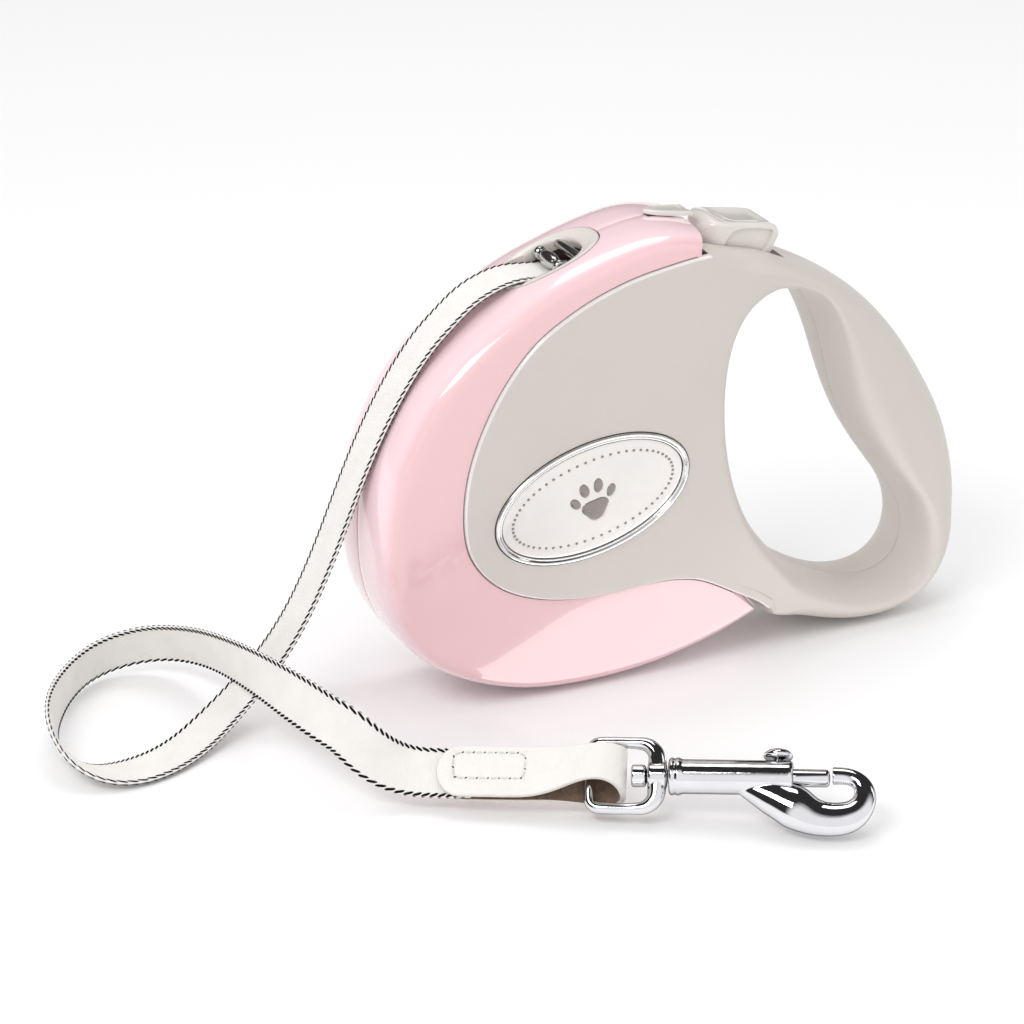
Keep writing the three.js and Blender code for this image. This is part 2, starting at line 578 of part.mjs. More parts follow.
function spool() {
  const { rootRadius, toothRadius, teeth, flangeIn, flangeOut } = SPOOL;
  const body = solid(turned(SPOOL_FRAME, [
    [4.2, flangeIn], [15.3, flangeIn], [15.3, -flangeOut], [35.4, -flangeOut],
    [35.4, -flangeIn], [17, -flangeIn], [17, flangeIn], [rootRadius, flangeIn],
    [rootRadius, flangeOut], [4.2, flangeOut],
  ], 40));
  // One tooth: [degrees from its middle, radius]
  const tooth = [[-5, rootRadius], [-3.2, toothRadius], [3.6, toothRadius], [4.6, rootRadius]];
  const pitch = 360 / teeth;
  const rim = [];
  for (let i = 0; i < teeth; i++) {
    const middle = 43 + pitch / 2 + i * pitch; // a gap sits at 43 degrees
    for (const [turn, radius] of tooth) rim.push(polar(radius, (middle + turn) * DEGREE));
  }
  const toothedRing = solid(prism(SPOOL_FRAME, rim, flangeIn, flangeOut))
    .subtract(post(SPOOL.x, SPOOL.z, 31, 5, 10));
  return body.add(toothedRing);
}

function spiralSpring() {
  const steps = 4 * 14; // turns by points per turn
  const halfThickness = 0.25;
  const outer = [];
  const inner = [];
  for (let i = 0; i <= steps; i++) {
    const t = (i / 14) * FULL_TURN;
    const radius = 5.2 + (9.2 * i) / steps;
    outer.push(polar(radius + halfThickness, t));
    inner.push(polar(radius - halfThickness, t));
  }
  return prism(SPOOL_FRAME, outer.concat(inner.reverse()), -6.6, 6.2);
}

const SPRING_COVER = [[5, -8.2], [15, -8.2], [15, -7.1], [5, -7.1]]; // [radius, y]
const WOUND_TAPE = [[17.3, -6.2], [33.1, -6.2], [33.1, 6.2], [17.3, 6.2]]; // [radius, y]
addPart("spool", spool(), "nylon");
addPart("spring_cover", turned(SPOOL_FRAME, SPRING_COVER, 24), "dark");
addPart("spool_axle", rod(SPOOL_FRAME, 3.9, -12.4, 12.4, 24), "steel");
addPart("wound_tape", turned(SPOOL_FRAME, WOUND_TAPE, 36), "tape");
addPart("spiral_spring", spiralSpring(), "spring");

// ---- thumb brake, outlines [x, z] ----
const BUTTON_OUTLINE = [
  [48.8,104.4],[62,102.4],[66.2,102.1],[69.4,108.6],[69.1,109.9],[67.6,110.9],[64,111.8],
  [60.5,112.4],[57,112.9],[53.5,113.6],[51.2,113.9],[49.6,113.3],[48.8,111.8],
];
const THUMB_DISH = [
  [53.8,114.2],[55.2,112.3],[58.5,111.2],[62,110.8],[65,110.6],[67.2,111.5],[67.2,116],
  [53.8,116],
];
const FLANK_POCKET = [[54.6,105],[56.8,110.4],[58.9,111.2],[67.4,109.8],[65.6,104.2]];
const PAWL_OUTLINE = [
  [28.03,78.73],[29.73,77.03],[33.5,79.5],[47.5,93.5],[52.5,98],[58,99.4],[58,102.3],
  [50.2,103.2],[45,99.8],[31,85.5],
];

function thumbButton() {
  let button = solid(prismY(BUTTON_OUTLINE, -6.95, 6.95));
  button = button.subtract(solid(prismY(THUMB_DISH, -5.4, 5.4)));
  for (const side of [-1, 1]) {
    button = button.subtract(solid(prismY(FLANK_POCKET, side * 6.3, side * 8)));
  }
  return button;
}
const brakeSpring = () => coil(frameAt([56.6, 0, 0], [1, 0, 0], [0, 1, 0], [0, 0, 1]), {
  radius: 2.6, wireRadius: 0.4, c0: 95.6, c1: 102.2, turns: 3.5, perTurn: 10,
});

addPart("thumb_button", thumbButton(), "key");
addPart("brake_pawl", prismY(PAWL_OUTLINE, 6.3, 8.7), "steel");
addPart("brake_spring", brakeSpring(), "spring");

// ---- lock slider on the crest, in a frame that slopes down toward +X ----
const CREST_SLOPE = 0.12;
const slopeLength = Math.hypot(1, CREST_SLOPE);
const CREST_FRAME = frameAt(
  [35, 0, 116.6],
  [1 / slopeLength, 0, -CREST_SLOPE / slopeLength],
  [0, 1, 0],
  [CREST_SLOPE / slopeLength, 0, 1 / slopeLength],
);
const SLIDER_OUTLINE = [
  [0, 0], [1.6, -1.5], [4.2, -2.8], [8, -3.3], [12.4, -3.3], [12.4, 3.3], [8, 3.3], [4.2, 2.8],
  [1.6, 1.5],
];
const RETAINER_OUTLINE = [[3.2, -3.4], [7.4, -3.4], [7.4, 3.4], [3.2, 3.4]];
const lockSlider = () => solid(prism(CREST_FRAME, SLIDER_OUTLINE, 0, 1.15))
  .add(solidBox(39.2, 42.2, -1.45, 1.45, 110.9, 116.4));

addPart("lock_slider", lockSlider(), "key");
addPart("lock_retainer", prism(CREST_FRAME, RETAINER_OUTLINE, -6.4, -5.4), "dark");

// ---- tape ----
// Value of a station table at a fractional station.
function tableAt(table, station) {
  const i = Math.min(table.length - 2, Math.floor(station));
  return table[i].map((value, k) => value + (table[i + 1][k] - value) * (station - i));
}

// Tape between two stations, with a section at each whole station between.
function ribbon(first, last) {
  const stations = [first];
  for (let s = Math.ceil(first + 0.3); s < last - 0.3; s++) stations.push(s);
  stations.push(last);
  return skin(stations.map((s) => {
    const centre = tableAt(TAPE_CENTRES, s);
    const before = tableAt(TAPE_CENTRES, Math.max(0, s - 0.5));
    const after = tableAt(TAPE_CENTRES, Math.min(TAPE_CENTRES.length - 1.001, s + 0.5));
    const along = vector(after).sub(vector(before)).normalize();
    const across = vector(tableAt(TAPE_WIDTHS, s));
    across.addScaledVector(along, -across.dot(along)).normalize();
    const normal = along.clone().cross(across);
    return [[-1, -1], [1, -1], [1, 1], [-1, 1]].map(([u, v]) => vector(centre)
      .addScaledVector(across, (u * TAPE.width) / 2)
      .addScaledVector(normal, (v * TAPE.thickness) / 2)
      .toArray());
  }), "cap");
}

// Straight run from the exit back into the case
function tapeLead() {
  const frame = frameAt(TAPE_CENTRES[0], [0.99504, 0, -0.0995], [0, 1, 0], [0.0995, 0, 0.99504]);
  const edge = TAPE.width / 2;
  const outline = [[0.2, -edge], [28, -edge], [28, edge], [0.2, edge]];
  return prism(frame, outline, -TAPE.thickness / 2, TAPE.thickness / 2);
}

addPart("tape_lead", tapeLead(), "tape");
addPart("tape_upper", ribbon(0.12, 17.3), "tape");
addPart("tape_loop", ribbon(17.7, 56.3), "tape");
addPart("tape_tail", ribbon(56.7, 61.9), "tape");

// ---- leather tab, swivel and snap ----
// Origin at the tape end of the tab
const TAB_START = TAPE_CENTRES.at(-3);
const ALONG = [0.85567, -0.51591, 0.04082];
const ACROSS = [0.34698, 0.63043, 0.69438];
const NORMAL = [-0.38397, -0.58, 0.71845];
const FLAT_FRAME = frameAt(TAB_START, ALONG, ACROSS, NORMAL);
const EDGE_FRAME = frameAt(TAB_START, ALONG, NORMAL, ACROSS);
const LINE_FRAME = frameAt(TAB_START, ACROSS, NORMAL, ALONG);

// Middle of the folded leather: [along, normal]
const LEATHER_PATH = [
  [0.6, 1.75], [14, 1.75], [24, 1.8], [31, 2.5], [36, 3.6], [40, 4], [43, 2.7], [44.2, 0],
  [43, -2.7], [40, -4], [36, -3.6], [31, -2.5], [24, -1.8], [14, -1.75], [1.6, -1.75],
];
// Hook of the snap: [along, across, radius]
const HOOK_PATH = [
  [69.5,-0.8,1.7],[72.2,-2,2.2],[74.8,-3,3],[77.6,-4.3,3.95],[80.2,-5.5,4.7],[82.8,-6.8,5.1],
  [86.55,-8.8,4.45],[91.35,-9.75,3.9],[95.7,-9,3.65],[98.7,-6,2.85],[99.1,-3,2.4],
  [98,-0.9,2.05],[95.7,0.4,1.95],[93.6,0.65,2],[91.8,0.6,2.05],
];
// Swivel post and barrel: [radius, along]
const BARREL_PROFILE = [
  [0, 45.5], [2.3, 45.5], [2.6, 45.8], [2.6, 48.6], [2.3, 48.9], [1.5, 48.9], [1.5, 54.1],
  [4.2, 54.1], [4.4, 55.4], [4.3, 56.8], [4, 57.2], [4, 82.2], [3.7, 82.8], [0, 82.8],
];
const BOLT_PROFILE = [[0, 69], [2.05, 69], [2.05, 90.6], [1.5, 91.2], [0, 91.2]];
// [radius, across]
const STUD_PROFILE = [
  [0, 2.35], [1.05, 2.35], [1.05, 4.35], [2.8, 4.45], [3.4, 5.2], [2.9, 6.1], [1.6, 6.7], [0, 6.7],
];

function leatherTab() {
  const halfThickness = 0.72;
  const offsetPath = (offset) => LEATHER_PATH.map(([a, b], i) => {
    const [na, nb] = pathNormal(LEATHER_PATH, i, false);
    return [a + na * offset, b + nb * offset];
  });
  const outline = offsetPath(halfThickness).concat(offsetPath(-halfThickness).reverse());
  return prism(EDGE_FRAME, outline, -6.3, 6.3);
}

function swivelRing() {
  // Corner arcs: [along, across, arc radius, from degrees, to degrees, steps, wire from, wire to]
  const corners = [
    [38.2, 5.65, 2.2, 180, 90, 3, 1.35, 1.4],
    [48.4, 4.85, 3, 85, 5, 5, 1.45, 2],
    [48.4, -4.85, 3, -5, -85, 5, 2, 1.45],
    [38.2, -5.65, 2.2, -90, -180, 3, 1.4, 1.35],
  ];
  const path = [];
  for (const [along, across, radius, from, to, steps, wireFrom, wireTo] of corners) {
    for (let i = 0; i <= steps; i++) {
      const [a, b] = polar(radius, (from + ((to - from) * i) / steps) * DEGREE);
      path.push([along + a, across + b, wireFrom + ((wireTo - wireFrom) * i) / steps]);
    }
  }
  return solid(wire(FLAT_FRAME, path, { squash: 1, segments: 10, closed: true }))
    .add(solid(rod(LINE_FRAME, 3, 49.3, 53.7, 16)))
    .subtract(solid(rod(LINE_FRAME, 1.8, 48, 55, 14)));
}

function snapBody() {
  const studSlot = [[69.2, 0], [81, 0], [81, 6], [69.2, 6]];
  return solid(turned(LINE_FRAME, BARREL_PROFILE, 20))
    .add(solid(wire(FLAT_FRAME, HOOK_PATH, { squash: 0.66, segments: 12, closed: false })))
    .subtract(solid(rod(LINE_FRAME, 2.4, 58, 91.4, 16)))
    .subtract(solid(prism(FLAT_FRAME, studSlot, -1.35, 1.35)));
}

function boltStud() {
  const frame = frameAt(inFrame(FLAT_FRAME, 79.2, 0, 0), ...EDGE_FRAME.axes);
  return turned(frame, STUD_PROFILE, 14);
}
const boltSpring = () => coil(LINE_FRAME, {
  radius: 1.75, wireRadius: 0.3, c0: 58.5, c1: 68.4, turns: 5, perTurn: 9,
});

addPart("leather_tab", leatherTab(), "leather");
addPart("swivel_ring", swivelRing(), "chrome");
addPart("snap_body", snapBody(), "chrome");
addPart("snap_bolt", turned(LINE_FRAME, BOLT_PROFILE, 16), "chrome");
addPart("bolt_stud", boltStud(), "chrome");
addPart("bolt_spring", boltSpring(), "spring");

export default root;
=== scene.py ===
# Retractable dog leash: a two-shell case with a looped grip, its tape, and a leather tab with snap.
# Lengths are mm from ORIGIN along the frame's axes, unless a name or comment says otherwise.
# X runs from the round body (-X) to the grip (+X), Y across the case (left shell at -Y), Z up.
import json
import math
import bpy
import bmesh
import numpy as np
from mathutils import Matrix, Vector


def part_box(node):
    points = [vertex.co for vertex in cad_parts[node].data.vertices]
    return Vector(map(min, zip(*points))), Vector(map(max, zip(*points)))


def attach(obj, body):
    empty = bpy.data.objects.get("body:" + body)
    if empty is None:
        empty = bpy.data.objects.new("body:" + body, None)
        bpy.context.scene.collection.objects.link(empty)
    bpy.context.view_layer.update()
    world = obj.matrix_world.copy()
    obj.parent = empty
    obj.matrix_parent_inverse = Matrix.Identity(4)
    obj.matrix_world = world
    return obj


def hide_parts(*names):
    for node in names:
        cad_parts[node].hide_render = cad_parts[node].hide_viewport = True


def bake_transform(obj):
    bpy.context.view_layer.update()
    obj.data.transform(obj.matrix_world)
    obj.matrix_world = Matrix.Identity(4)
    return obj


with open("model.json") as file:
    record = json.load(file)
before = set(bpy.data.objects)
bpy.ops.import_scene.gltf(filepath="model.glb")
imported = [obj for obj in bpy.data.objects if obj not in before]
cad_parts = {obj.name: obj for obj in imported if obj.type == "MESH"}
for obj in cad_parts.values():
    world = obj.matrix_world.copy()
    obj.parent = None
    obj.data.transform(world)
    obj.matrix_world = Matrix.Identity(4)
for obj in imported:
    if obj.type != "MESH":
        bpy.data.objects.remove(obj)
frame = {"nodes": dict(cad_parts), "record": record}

MM = 0.001
# 16 mm in front of the drum's lowest point, in the mid-plane
ORIGIN = np.array((-1.6164, 35.1652, 0.0))
OFFSET = ORIGIN * MM
EX, EY, EZ = np.eye(3)
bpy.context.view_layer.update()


def node_box(node):
    low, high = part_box(node)
    return np.array(low) * 1000 - ORIGIN, np.array(high) * 1000 - ORIGIN


def node_cylinder(node):
    """Centre x and z, radius and the two end heights of a part lying along Y."""
    low, high = node_box(node)
    return (low[0] + high[0]) / 2, (low[2] + high[2]) / 2, (high[2] - low[2]) / 2, low[1], high[1]


# ---------------------------------------------------------------- sizes
# Distances from the mid-plane
BODY_Y = -node_box("shell_left")[0][1]      # outer face of the body
PANEL_Y = -node_box("cover_left")[0][1]     # outer face of the cover's panel
GRIP_Y = 13.5
RECESS_Y = 14.9                             # body surface under the panel
UNDER_Y = 15.2                              # underside of the panel
FLOOR_Y = 12.7                              # inner face of the housing
SEAM_Y = 0.06                               # half the gap between the two shells

WALL = 2.2
# How far the rounding reaches in from an edge, and its superellipse power
EDGE_DEPTH, EDGE_POWER = 6.5, 3.3
GRIP_DEPTH, GRIP_POWER = 9.5, 2.15
BACK_INSET = 2.4
LIP_INSET = 0.35

BADGE_X, BADGE_Z, BADGE_TILT = 14.2, 52.1, math.radians(12.8)
BADGE_A, BADGE_B = 26.4, 14.9               # half axes
BADGE_BASE_Y, PLATE_Y, PLATE_DOME = 16.5, 17.28, 0.3
PLATE_A, PLATE_B = BADGE_A - 1.85, BADGE_B - 1.85

BEZEL_A, BEZEL_B = 13.95, 8.75              # half length and half width
SEAT_GAP = 0.3                              # clearance round the bezel and the badge

SCREWS = []                                 # x, z, top y
for number in range(1, 6):
    x, z, _, _, top = node_cylinder("case_screw_%d" % number)
    SCREWS.append((x, z, top))

# Outlines in side view, columns x, z
# Rim of the body: from the top round the -X side and along the bottom
BODY_RIM = [
    (45, 114.7), (41.4, 115.5), (35.8, 116.1), (30.1, 115.6), (24.7, 114.5), (16.6, 112.2),
    (8.7, 109.4), (2, 106.7), (-4.7, 103), (-12.6, 97.9), (-20.5, 91.5), (-28.1, 83.4),
    (-34.4, 73.1), (-38.6, 63), (-40.3, 52.4), (-40.5, 46), (-40.2, 39), (-38.7, 31),
    (-35.7, 23.6), (-31, 16.9), (-28, 13.6), (-23, 9.8), (-16, 6), (-8, 3), (0, 1.1), (8, 0.25),
    (16, 0), (25, 0.4), (33, 1.3), (40, 2.7), (47, 4.5), (52.5, 6.2), (58, 8.3), (63, 10.4)]
# Edge that closes the body on the grip side, from the bottom up
BODY_BACK = [
    (59.5, 15), (54.6, 26), (51, 38), (48.6, 50), (47.3, 63), (46.3, 77), (45.6, 91), (45.2, 104)]
# Edge of the cover's panel over the body, from the bottom up to the seam
PANEL_EDGE = [
    (63.9, 12), (60.8, 14.6), (57.3, 16.7), (53, 19.2), (47.8, 22.2), (43, 24.3), (37.4, 25.4),
    (30.4, 25.7), (23.5, 25.4), (16.7, 25.4), (9.9, 25.7), (3.1, 26.8), (-3.7, 28.9), (-9, 31.6),
    (-13, 34.8), (-16.2, 38.6), (-18.7, 43.6), (-19.8, 50.1), (-19.7, 56.8), (-18.5, 64.2),
    (-16.3, 71.2), (-13.4, 77.6), (-10.2, 83.3), (-6.4, 88.6), (-2.3, 93.2), (2.7, 97.2),
    (8, 100.3), (13.2, 102.9), (18.4, 104.9), (23.7, 106.6), (29, 107.8), (34.3, 108.7),
    (39.7, 109.5), (45.1, 109.98)]
# Outside of the grip, from the top round the +X side to the bottom
GRIP_EDGE = [
    (45.3, 110.15), (54, 107.9), (62, 105.9), (68, 103.5), (74.5, 100.4), (81.5, 97.2),
    (88.9, 92.6), (96.9, 85.8), (105.3, 76.1), (112.7, 64.6), (118.3, 53.6), (121.6, 43.3),
    (123.3, 33), (123.3, 24.3), (121.6, 16.1), (117.6, 9), (111.6, 3.6), (104.5, 0.9), (97, 0),
    (90, 0.6), (82.5, 2.5), (74.4, 5.2), (69.3, 7.3), (65.7, 9)]
HAND_HOLE = [
    (68.5, 95.2), (74, 93.8), (78.6, 90.5), (82, 85), (85, 77), (87.6, 67), (91, 57), (96.5, 47.5),
    (103, 38.5), (108.3, 31), (110.9, 24.5), (111.3, 18), (109, 12.6), (103.5, 9.4), (96, 9.2),
    (88, 11.5), (80, 15.6), (72.5, 21), (66.5, 27.5), (61, 35), (57, 43.5), (54.2, 53), (52.6, 63),
    (52.2, 72), (52.9, 80), (55, 87), (58.6, 92), (63, 94.6)]

# Tape stations about 6 mm apart, numbered from 0 at the exit; columns x, y, z of the centre
TAPE_CENTRE = [
    (5.2, 0, 106.2), (-0.81, 0, 106.35), (-6.64, 0, 104.9), (-12, 0, 102.22),
    (-16.67, 0, 98.44), (-21.09, 0, 94.43), (-25.06, 0, 89.94), (-28.62, 0, 85.11),
    (-31.87, 0, 80.06), (-34.86, 0, 74.84), (-37.62, 0, 69.5), (-40.19, 0, 64.06),
    (-42.6, 0, 58.55), (-44.91, 0, 52.99), (-47.22, 0, 47.44), (-49.64, 0, 41.92),
    (-52.21, 0, 36.49), (-54.98, 0.02, 31.15), (-58, 0.14, 25.96), (-61.23, 0.54, 20.93),
    (-64.71, 1.15, 16.1), (-68.59, 1.51, 11.61), (-72.99, 1.25, 7.69), (-77.77, 0.01, 4.62),
    (-82.73, -2.29, 2.6), (-87.78, -5.22, 1.63), (-93, -8.12, 1.32), (-98.47, -10.34, 1.26),
    (-104.11, -11.23, 1.31), (-109.48, -10.2, 1.77), (-113.78, -7.17, 2.96),
    (-116.41, -2.6, 4.63), (-117.24, 2.79, 6.12), (-116.45, 8.44, 6.96), (-114.5, 14.03, 7.14),
    (-111.87, 19.42, 6.94), (-108.78, 24.59, 6.71), (-105.23, 29.47, 6.59),
    (-101.13, 33.88, 6.61), (-96.39, 37.36, 6.85), (-91.09, 39.07, 7.36), (-85.75, 38.56, 8.22),
    (-81.2, 35.88, 9.36), (-77.94, 31.44, 10.7), (-75.82, 26.05, 12.17), (-74.46, 20.36, 13.68),
    (-73.51, 14.57, 15.08), (-72.79, 8.73, 16.33), (-72.18, 2.84, 17.46), (-71.62, -3.07, 18.47),
    (-71.04, -8.99, 19.34), (-70.36, -14.93, 20.01), (-69.5, -20.86, 20.41),
    (-68.36, -26.76, 20.51), (-66.85, -32.54, 20.2), (-64.79, -38.03, 19.32),
    (-61.98, -42.94, 17.74), (-58.54, -46.45, 14.26), (-54.1, -48.62, 10.57),
    (-48.91, -50.58, 8.27), (-43.76, -53.28, 7.8), (-38.63, -56.38, 8.04), (-33.49, -59.47, 8.29)]
# Direction across the tape at the same stations; the first 16 lie square to the mid-plane
TAPE_ACROSS = [(0, 1, 0)] * 16 + [
    (0, 1, 0.001), (0.003, 1, 0.008), (0.017, 0.999, 0.038), (0.038, 0.996, 0.084),
    (0.025, 0.995, 0.096), (-0.041, 0.997, 0.062), (-0.158, 0.987, 0.007), (-0.32, 0.946, -0.05),
    (-0.459, 0.886, -0.063), (-0.501, 0.865, -0.035), (-0.444, 0.896, 0.001),
    (-0.282, 0.959, 0.025), (0.004, 1, -0.001), (0.36, 0.922, -0.145), (0.583, 0.692, -0.427),
    (0.55, 0.424, -0.719), (0.387, 0.192, -0.902), (0.221, 0.028, -0.975),
    (0.098, -0.052, -0.994), (0.019, -0.057, -0.998), (-0.035, -0.014, -0.999),
    (-0.077, 0.052, -0.996), (-0.094, 0.132, -0.987), (-0.049, 0.224, -0.973),
    (0.088, 0.285, -0.954), (0.267, 0.253, -0.93), (0.405, 0.126, -0.906),
    (0.443, -0.019, -0.896), (0.413, -0.119, -0.903), (0.349, -0.167, -0.922),
    (0.275, -0.176, -0.945), (0.202, -0.172, -0.964), (0.133, -0.165, -0.977),
    (0.061, -0.152, -0.986), (-0.015, -0.131, -0.991), (-0.099, -0.104, -0.99),
    (-0.191, -0.074, -0.979), (-0.278, -0.048, -0.959), (-0.348, -0.013, -0.937),
    (-0.395, 0.033, -0.918), (-0.426, 0.01, -0.905), (-0.445, -0.077, -0.892),
    (-0.435, -0.312, -0.845), (-0.377, -0.561, -0.737), (-0.347, -0.63, -0.694),
    (-0.347, -0.63, -0.694), (-0.347, -0.63, -0.694)]

# Axes of the tape exit: along the rim towards +X, and out of the case
EXIT_ORIGIN = np.array((9.3, 0, 109.4))
EXIT_ALONG = np.array((0.936, 0, 0.352))
EXIT_OUT = np.array((-0.352, 0, 0.936))
# Axes of the tab, swivel and snap: along (s), across (t), and up off the face (n)
TAB_ORIGIN = np.array(TAPE_CENTRE[60])
TAB_ALONG = np.array((0.85567, -0.51591, 0.04082))
TAB_ACROSS = np.array((0.34698, 0.63043, 0.69438))
TAB_UP = np.array((-0.38397, -0.58, 0.71845))


def at_exit(point, out):
    return EXIT_ORIGIN + point[0] * EXIT_ALONG + point[1] * EY + out * EXIT_OUT


def at_tab(s, t, n):
    s, t, n = [np.asarray(value, float)[..., None] for value in (s, t, n)]
    return TAB_ORIGIN + s * TAB_ALONG + t * TAB_ACROSS + n * TAB_UP


# ---------------------------------------------------------------- curves
def unit(v):
    v = np.asarray(v, float)
    return v / np.linalg.norm(v, axis=-1, keepdims=True)


def smooth_step(x):
    t = np.clip(x, 0, 1)
    return t * t * (3 - 2 * t)


def arc_length(points):
    """Distance along a line at each of its points."""
    return np.concatenate([[0], np.cumsum(np.linalg.norm(np.diff(points, axis=0), axis=1))])


def tangents(line, closed=False):
    if closed:
        return unit(np.roll(line, -1, 0) - np.roll(line, 1, 0))
    return unit(np.gradient(line, axis=0))


def spline(knots, points, at, closed):
    """Cubic spline through points, read off at the values in `at`; closed or with natural ends."""
    points = np.asarray(points, float)
    step = np.diff(knots)
    count = len(knots)
    system = np.zeros((count, count))
    target = np.zeros((count, points.shape[1]))
    for i in range(1, count - 1):
        system[i, i - 1:i + 2] = step[i - 1], 2 * (step[i - 1] + step[i]), step[i]
        ahead = (points[i + 1] - points[i]) / step[i]
        target[i] = 6 * (ahead - (points[i] - points[i - 1]) / step[i - 1])
    if closed:
        system[0, 0], system[0, -1] = 1, -1
        system[-1, [0, 1, -2, -1]] = 2 * step[0], step[0], step[-1], 2 * step[-1]
        ahead = (points[1] - points[0]) / step[0]
        target[-1] = 6 * (ahead - (points[-1] - points[-2]) / step[-1])
    else:
        system[0, 0] = system[-1, -1] = 1
    bend = np.linalg.solve(system, target)
    i = np.clip(np.searchsorted(knots, at, side="right") - 1, 0, count - 2)
    a = ((knots[i + 1] - at) / step[i])[:, None]
    b = ((at - knots[i]) / step[i])[:, None]
    curve = ((a ** 3 - a) * bend[i] + (b ** 3 - b) * bend[i + 1]) * step[i][:, None] ** 2 / 6
    return a * points[i] + b * points[i + 1] + curve


def space_evenly(points, count, closed):
    line = np.vstack([points, points[:1]]) if closed else points
    length = arc_length(line)
    if closed:
        at = np.linspace(0, length[-1], count + 1)[:-1]
    else:
        at = np.linspace(0, length[-1], count)
    return np.stack([np.interp(at, length, column) for column in line.T], 1)


def resample(points, count, closed=False, fair=0.0):
    """Evenly spaced points on the spline; `fair` smooths out changes of curvature."""
    points = np.asarray(points, float)
    line = np.vstack([points, points[:1]]) if closed else points
    knots = arc_length(line)
    dense = spline(knots, line, np.linspace(0, knots[-1], count * 4), closed)
    even = space_evenly(dense[:-1] if closed else dense, count, closed)
    if fair:
        size = len(even)
        third = np.zeros((size if closed else size - 3, size))
        for i in range(len(third)):
            for k, factor in enumerate((-1, 3, -3, 1)):
                third[i, (i + k) % size] += factor
        weight = np.eye(size)
        if not closed:
            # Holds the two ends in place
            weight[0, 0] = weight[-1, -1] = 1e4
        faired = np.linalg.solve(weight + fair * third.T @ third, weight @ even)
        even = space_evenly(faired, count, closed)
    return even


def ray_reach(origin, rays, line, closed):
    """Distance along each ray to its farthest crossing with the line."""
    start = line if closed else line[:-1]
    end = np.roll(line, -1, 0) if closed else line[1:]
    edge = (end - start)[None]
    away = (start - origin)[None]
    rays = rays[:, None]
    det = rays[..., 0] * edge[..., 1] - rays[..., 1] * edge[..., 0]
    det = np.where(np.abs(det) < 1e-12, 1e-12, det)
    reach = (away[..., 0] * edge[..., 1] - away[..., 1] * edge[..., 0]) / det
    share = (away[..., 0] * rays[..., 1] - away[..., 1] * rays[..., 0]) / det
    hit = (reach > 0) & (share >= -1e-6) & (share <= 1 + 1e-6)
    return np.where(hit, reach, 0).max(1)


def rounded(angle, power):
    """Superellipse quarter from an edge: shares of the way inwards and of the height."""
    return 1 - math.cos(angle) ** (2 / power), math.sin(angle) ** (2 / power)


def rectangle(x0, x1, z0, z1):
    return [(x0, z0), (x1, z0), (x1, z1), (x0, z1)]


def oval(a, b, count=96):
    """Ellipse tilted like the badge, round the badge's centre."""
    angle = np.arange(count) / count * 2 * math.pi
    u, v = a * np.cos(angle), b * np.sin(angle)
    c, s = math.cos(BADGE_TILT), math.sin(BADGE_TILT)
    return np.stack([BADGE_X + u * c - v * s, BADGE_Z + u * s + v * c], 1)


def stadium(a, b, count):
    angle = np.arange(count) / count * 2 * math.pi
    c, s = np.cos(angle), np.sin(angle)
    power = 2 / 2.3
    return np.stack([a * np.sign(c) * np.abs(c) ** power, b * np.sign(s) * np.abs(s) ** power], 1)


# ---------------------------------------------------------------- shapes, as (vertices, faces)
def loft(rings, ends="loop", centres=()):
    """Skin over rings: last joined to first, each end fanned to a centre, or capped flat."""
    rings = np.asarray(rings, float)
    rows, count = rings.shape[:2]
    verts = rings.reshape(-1, 3).tolist()
    faces = []
    here = np.arange(count)
    beside = (here + 1) % count
    for i in range(rows if ends == "loop" else rows - 1):
        a, b = i * count, ((i + 1) % rows) * count
        faces += list(zip(a + here, a + beside, b + beside, b + here))
    last = (rows - 1) * count
    if ends == "fan":
        first_centre = len(verts)
        verts += [list(centre) for centre in centres]
        for j in range(count):
            k = (j + 1) % count
            faces.append((first_centre, k, j))
            faces.append((first_centre + 1, last + j, last + k))
    if ends == "cap":
        faces.append(tuple(range(count))[::-1])
        faces.append(tuple(last + j for j in range(count)))
    return verts, faces


def merge(shapes):
    all_verts, all_faces = [], []
    for verts, faces in shapes:
        base = len(all_verts)
        all_verts += list(verts)
        all_faces += [tuple(i + base for i in face) for face in faces]
    return all_verts, all_faces


def prism(outline, start, end, place=lambda p, y: (p[0], y, p[1])):
    return loft([[place(p, level) for p in outline] for level in (start, end)], "cap")


def lathe(origin, first, second, axis, profile, count=64):
    """Profile of (radius, height) turned round the axis; closed at its ends if both radii are 0."""
    profile = np.asarray(profile, float)
    angle = (np.arange(count) / count * 2 * math.pi)[:, None]

    def ring(radius, height):
        around = radius * np.cos(angle) * first + radius * np.sin(angle) * second
        return origin + around + height * axis

    if profile[0, 0] == 0 and profile[-1, 0] == 0:
        centres = [origin + profile[k, 1] * axis for k in (0, -1)]
        return loft([ring(r, h) for r, h in profile[1:-1]], "fan", centres)
    return loft([ring(r, h) for r, h in profile])


def y_lathe(x, z, profile, count):
    return lathe(np.array((x, 0, z), float), EX, EZ, EY, profile, count)


def tab_lathe(profile, count):
    return lathe(TAB_ORIGIN, TAB_ACROSS, TAB_UP, TAB_ALONG, profile, count)


def y_rod(x, z, radius, y0, y1, chamfer):
    side = [(radius - chamfer, 0), (radius - chamfer * 0.3, chamfer * 0.3), (radius, chamfer)]
    profile = [(0, y0)] + [(r, y0 + h) for r, h in side]
    profile += [(r, y1 - h) for r, h in side[::-1]] + [(0, y1)]
    return y_lathe(x, z, profile, 48)


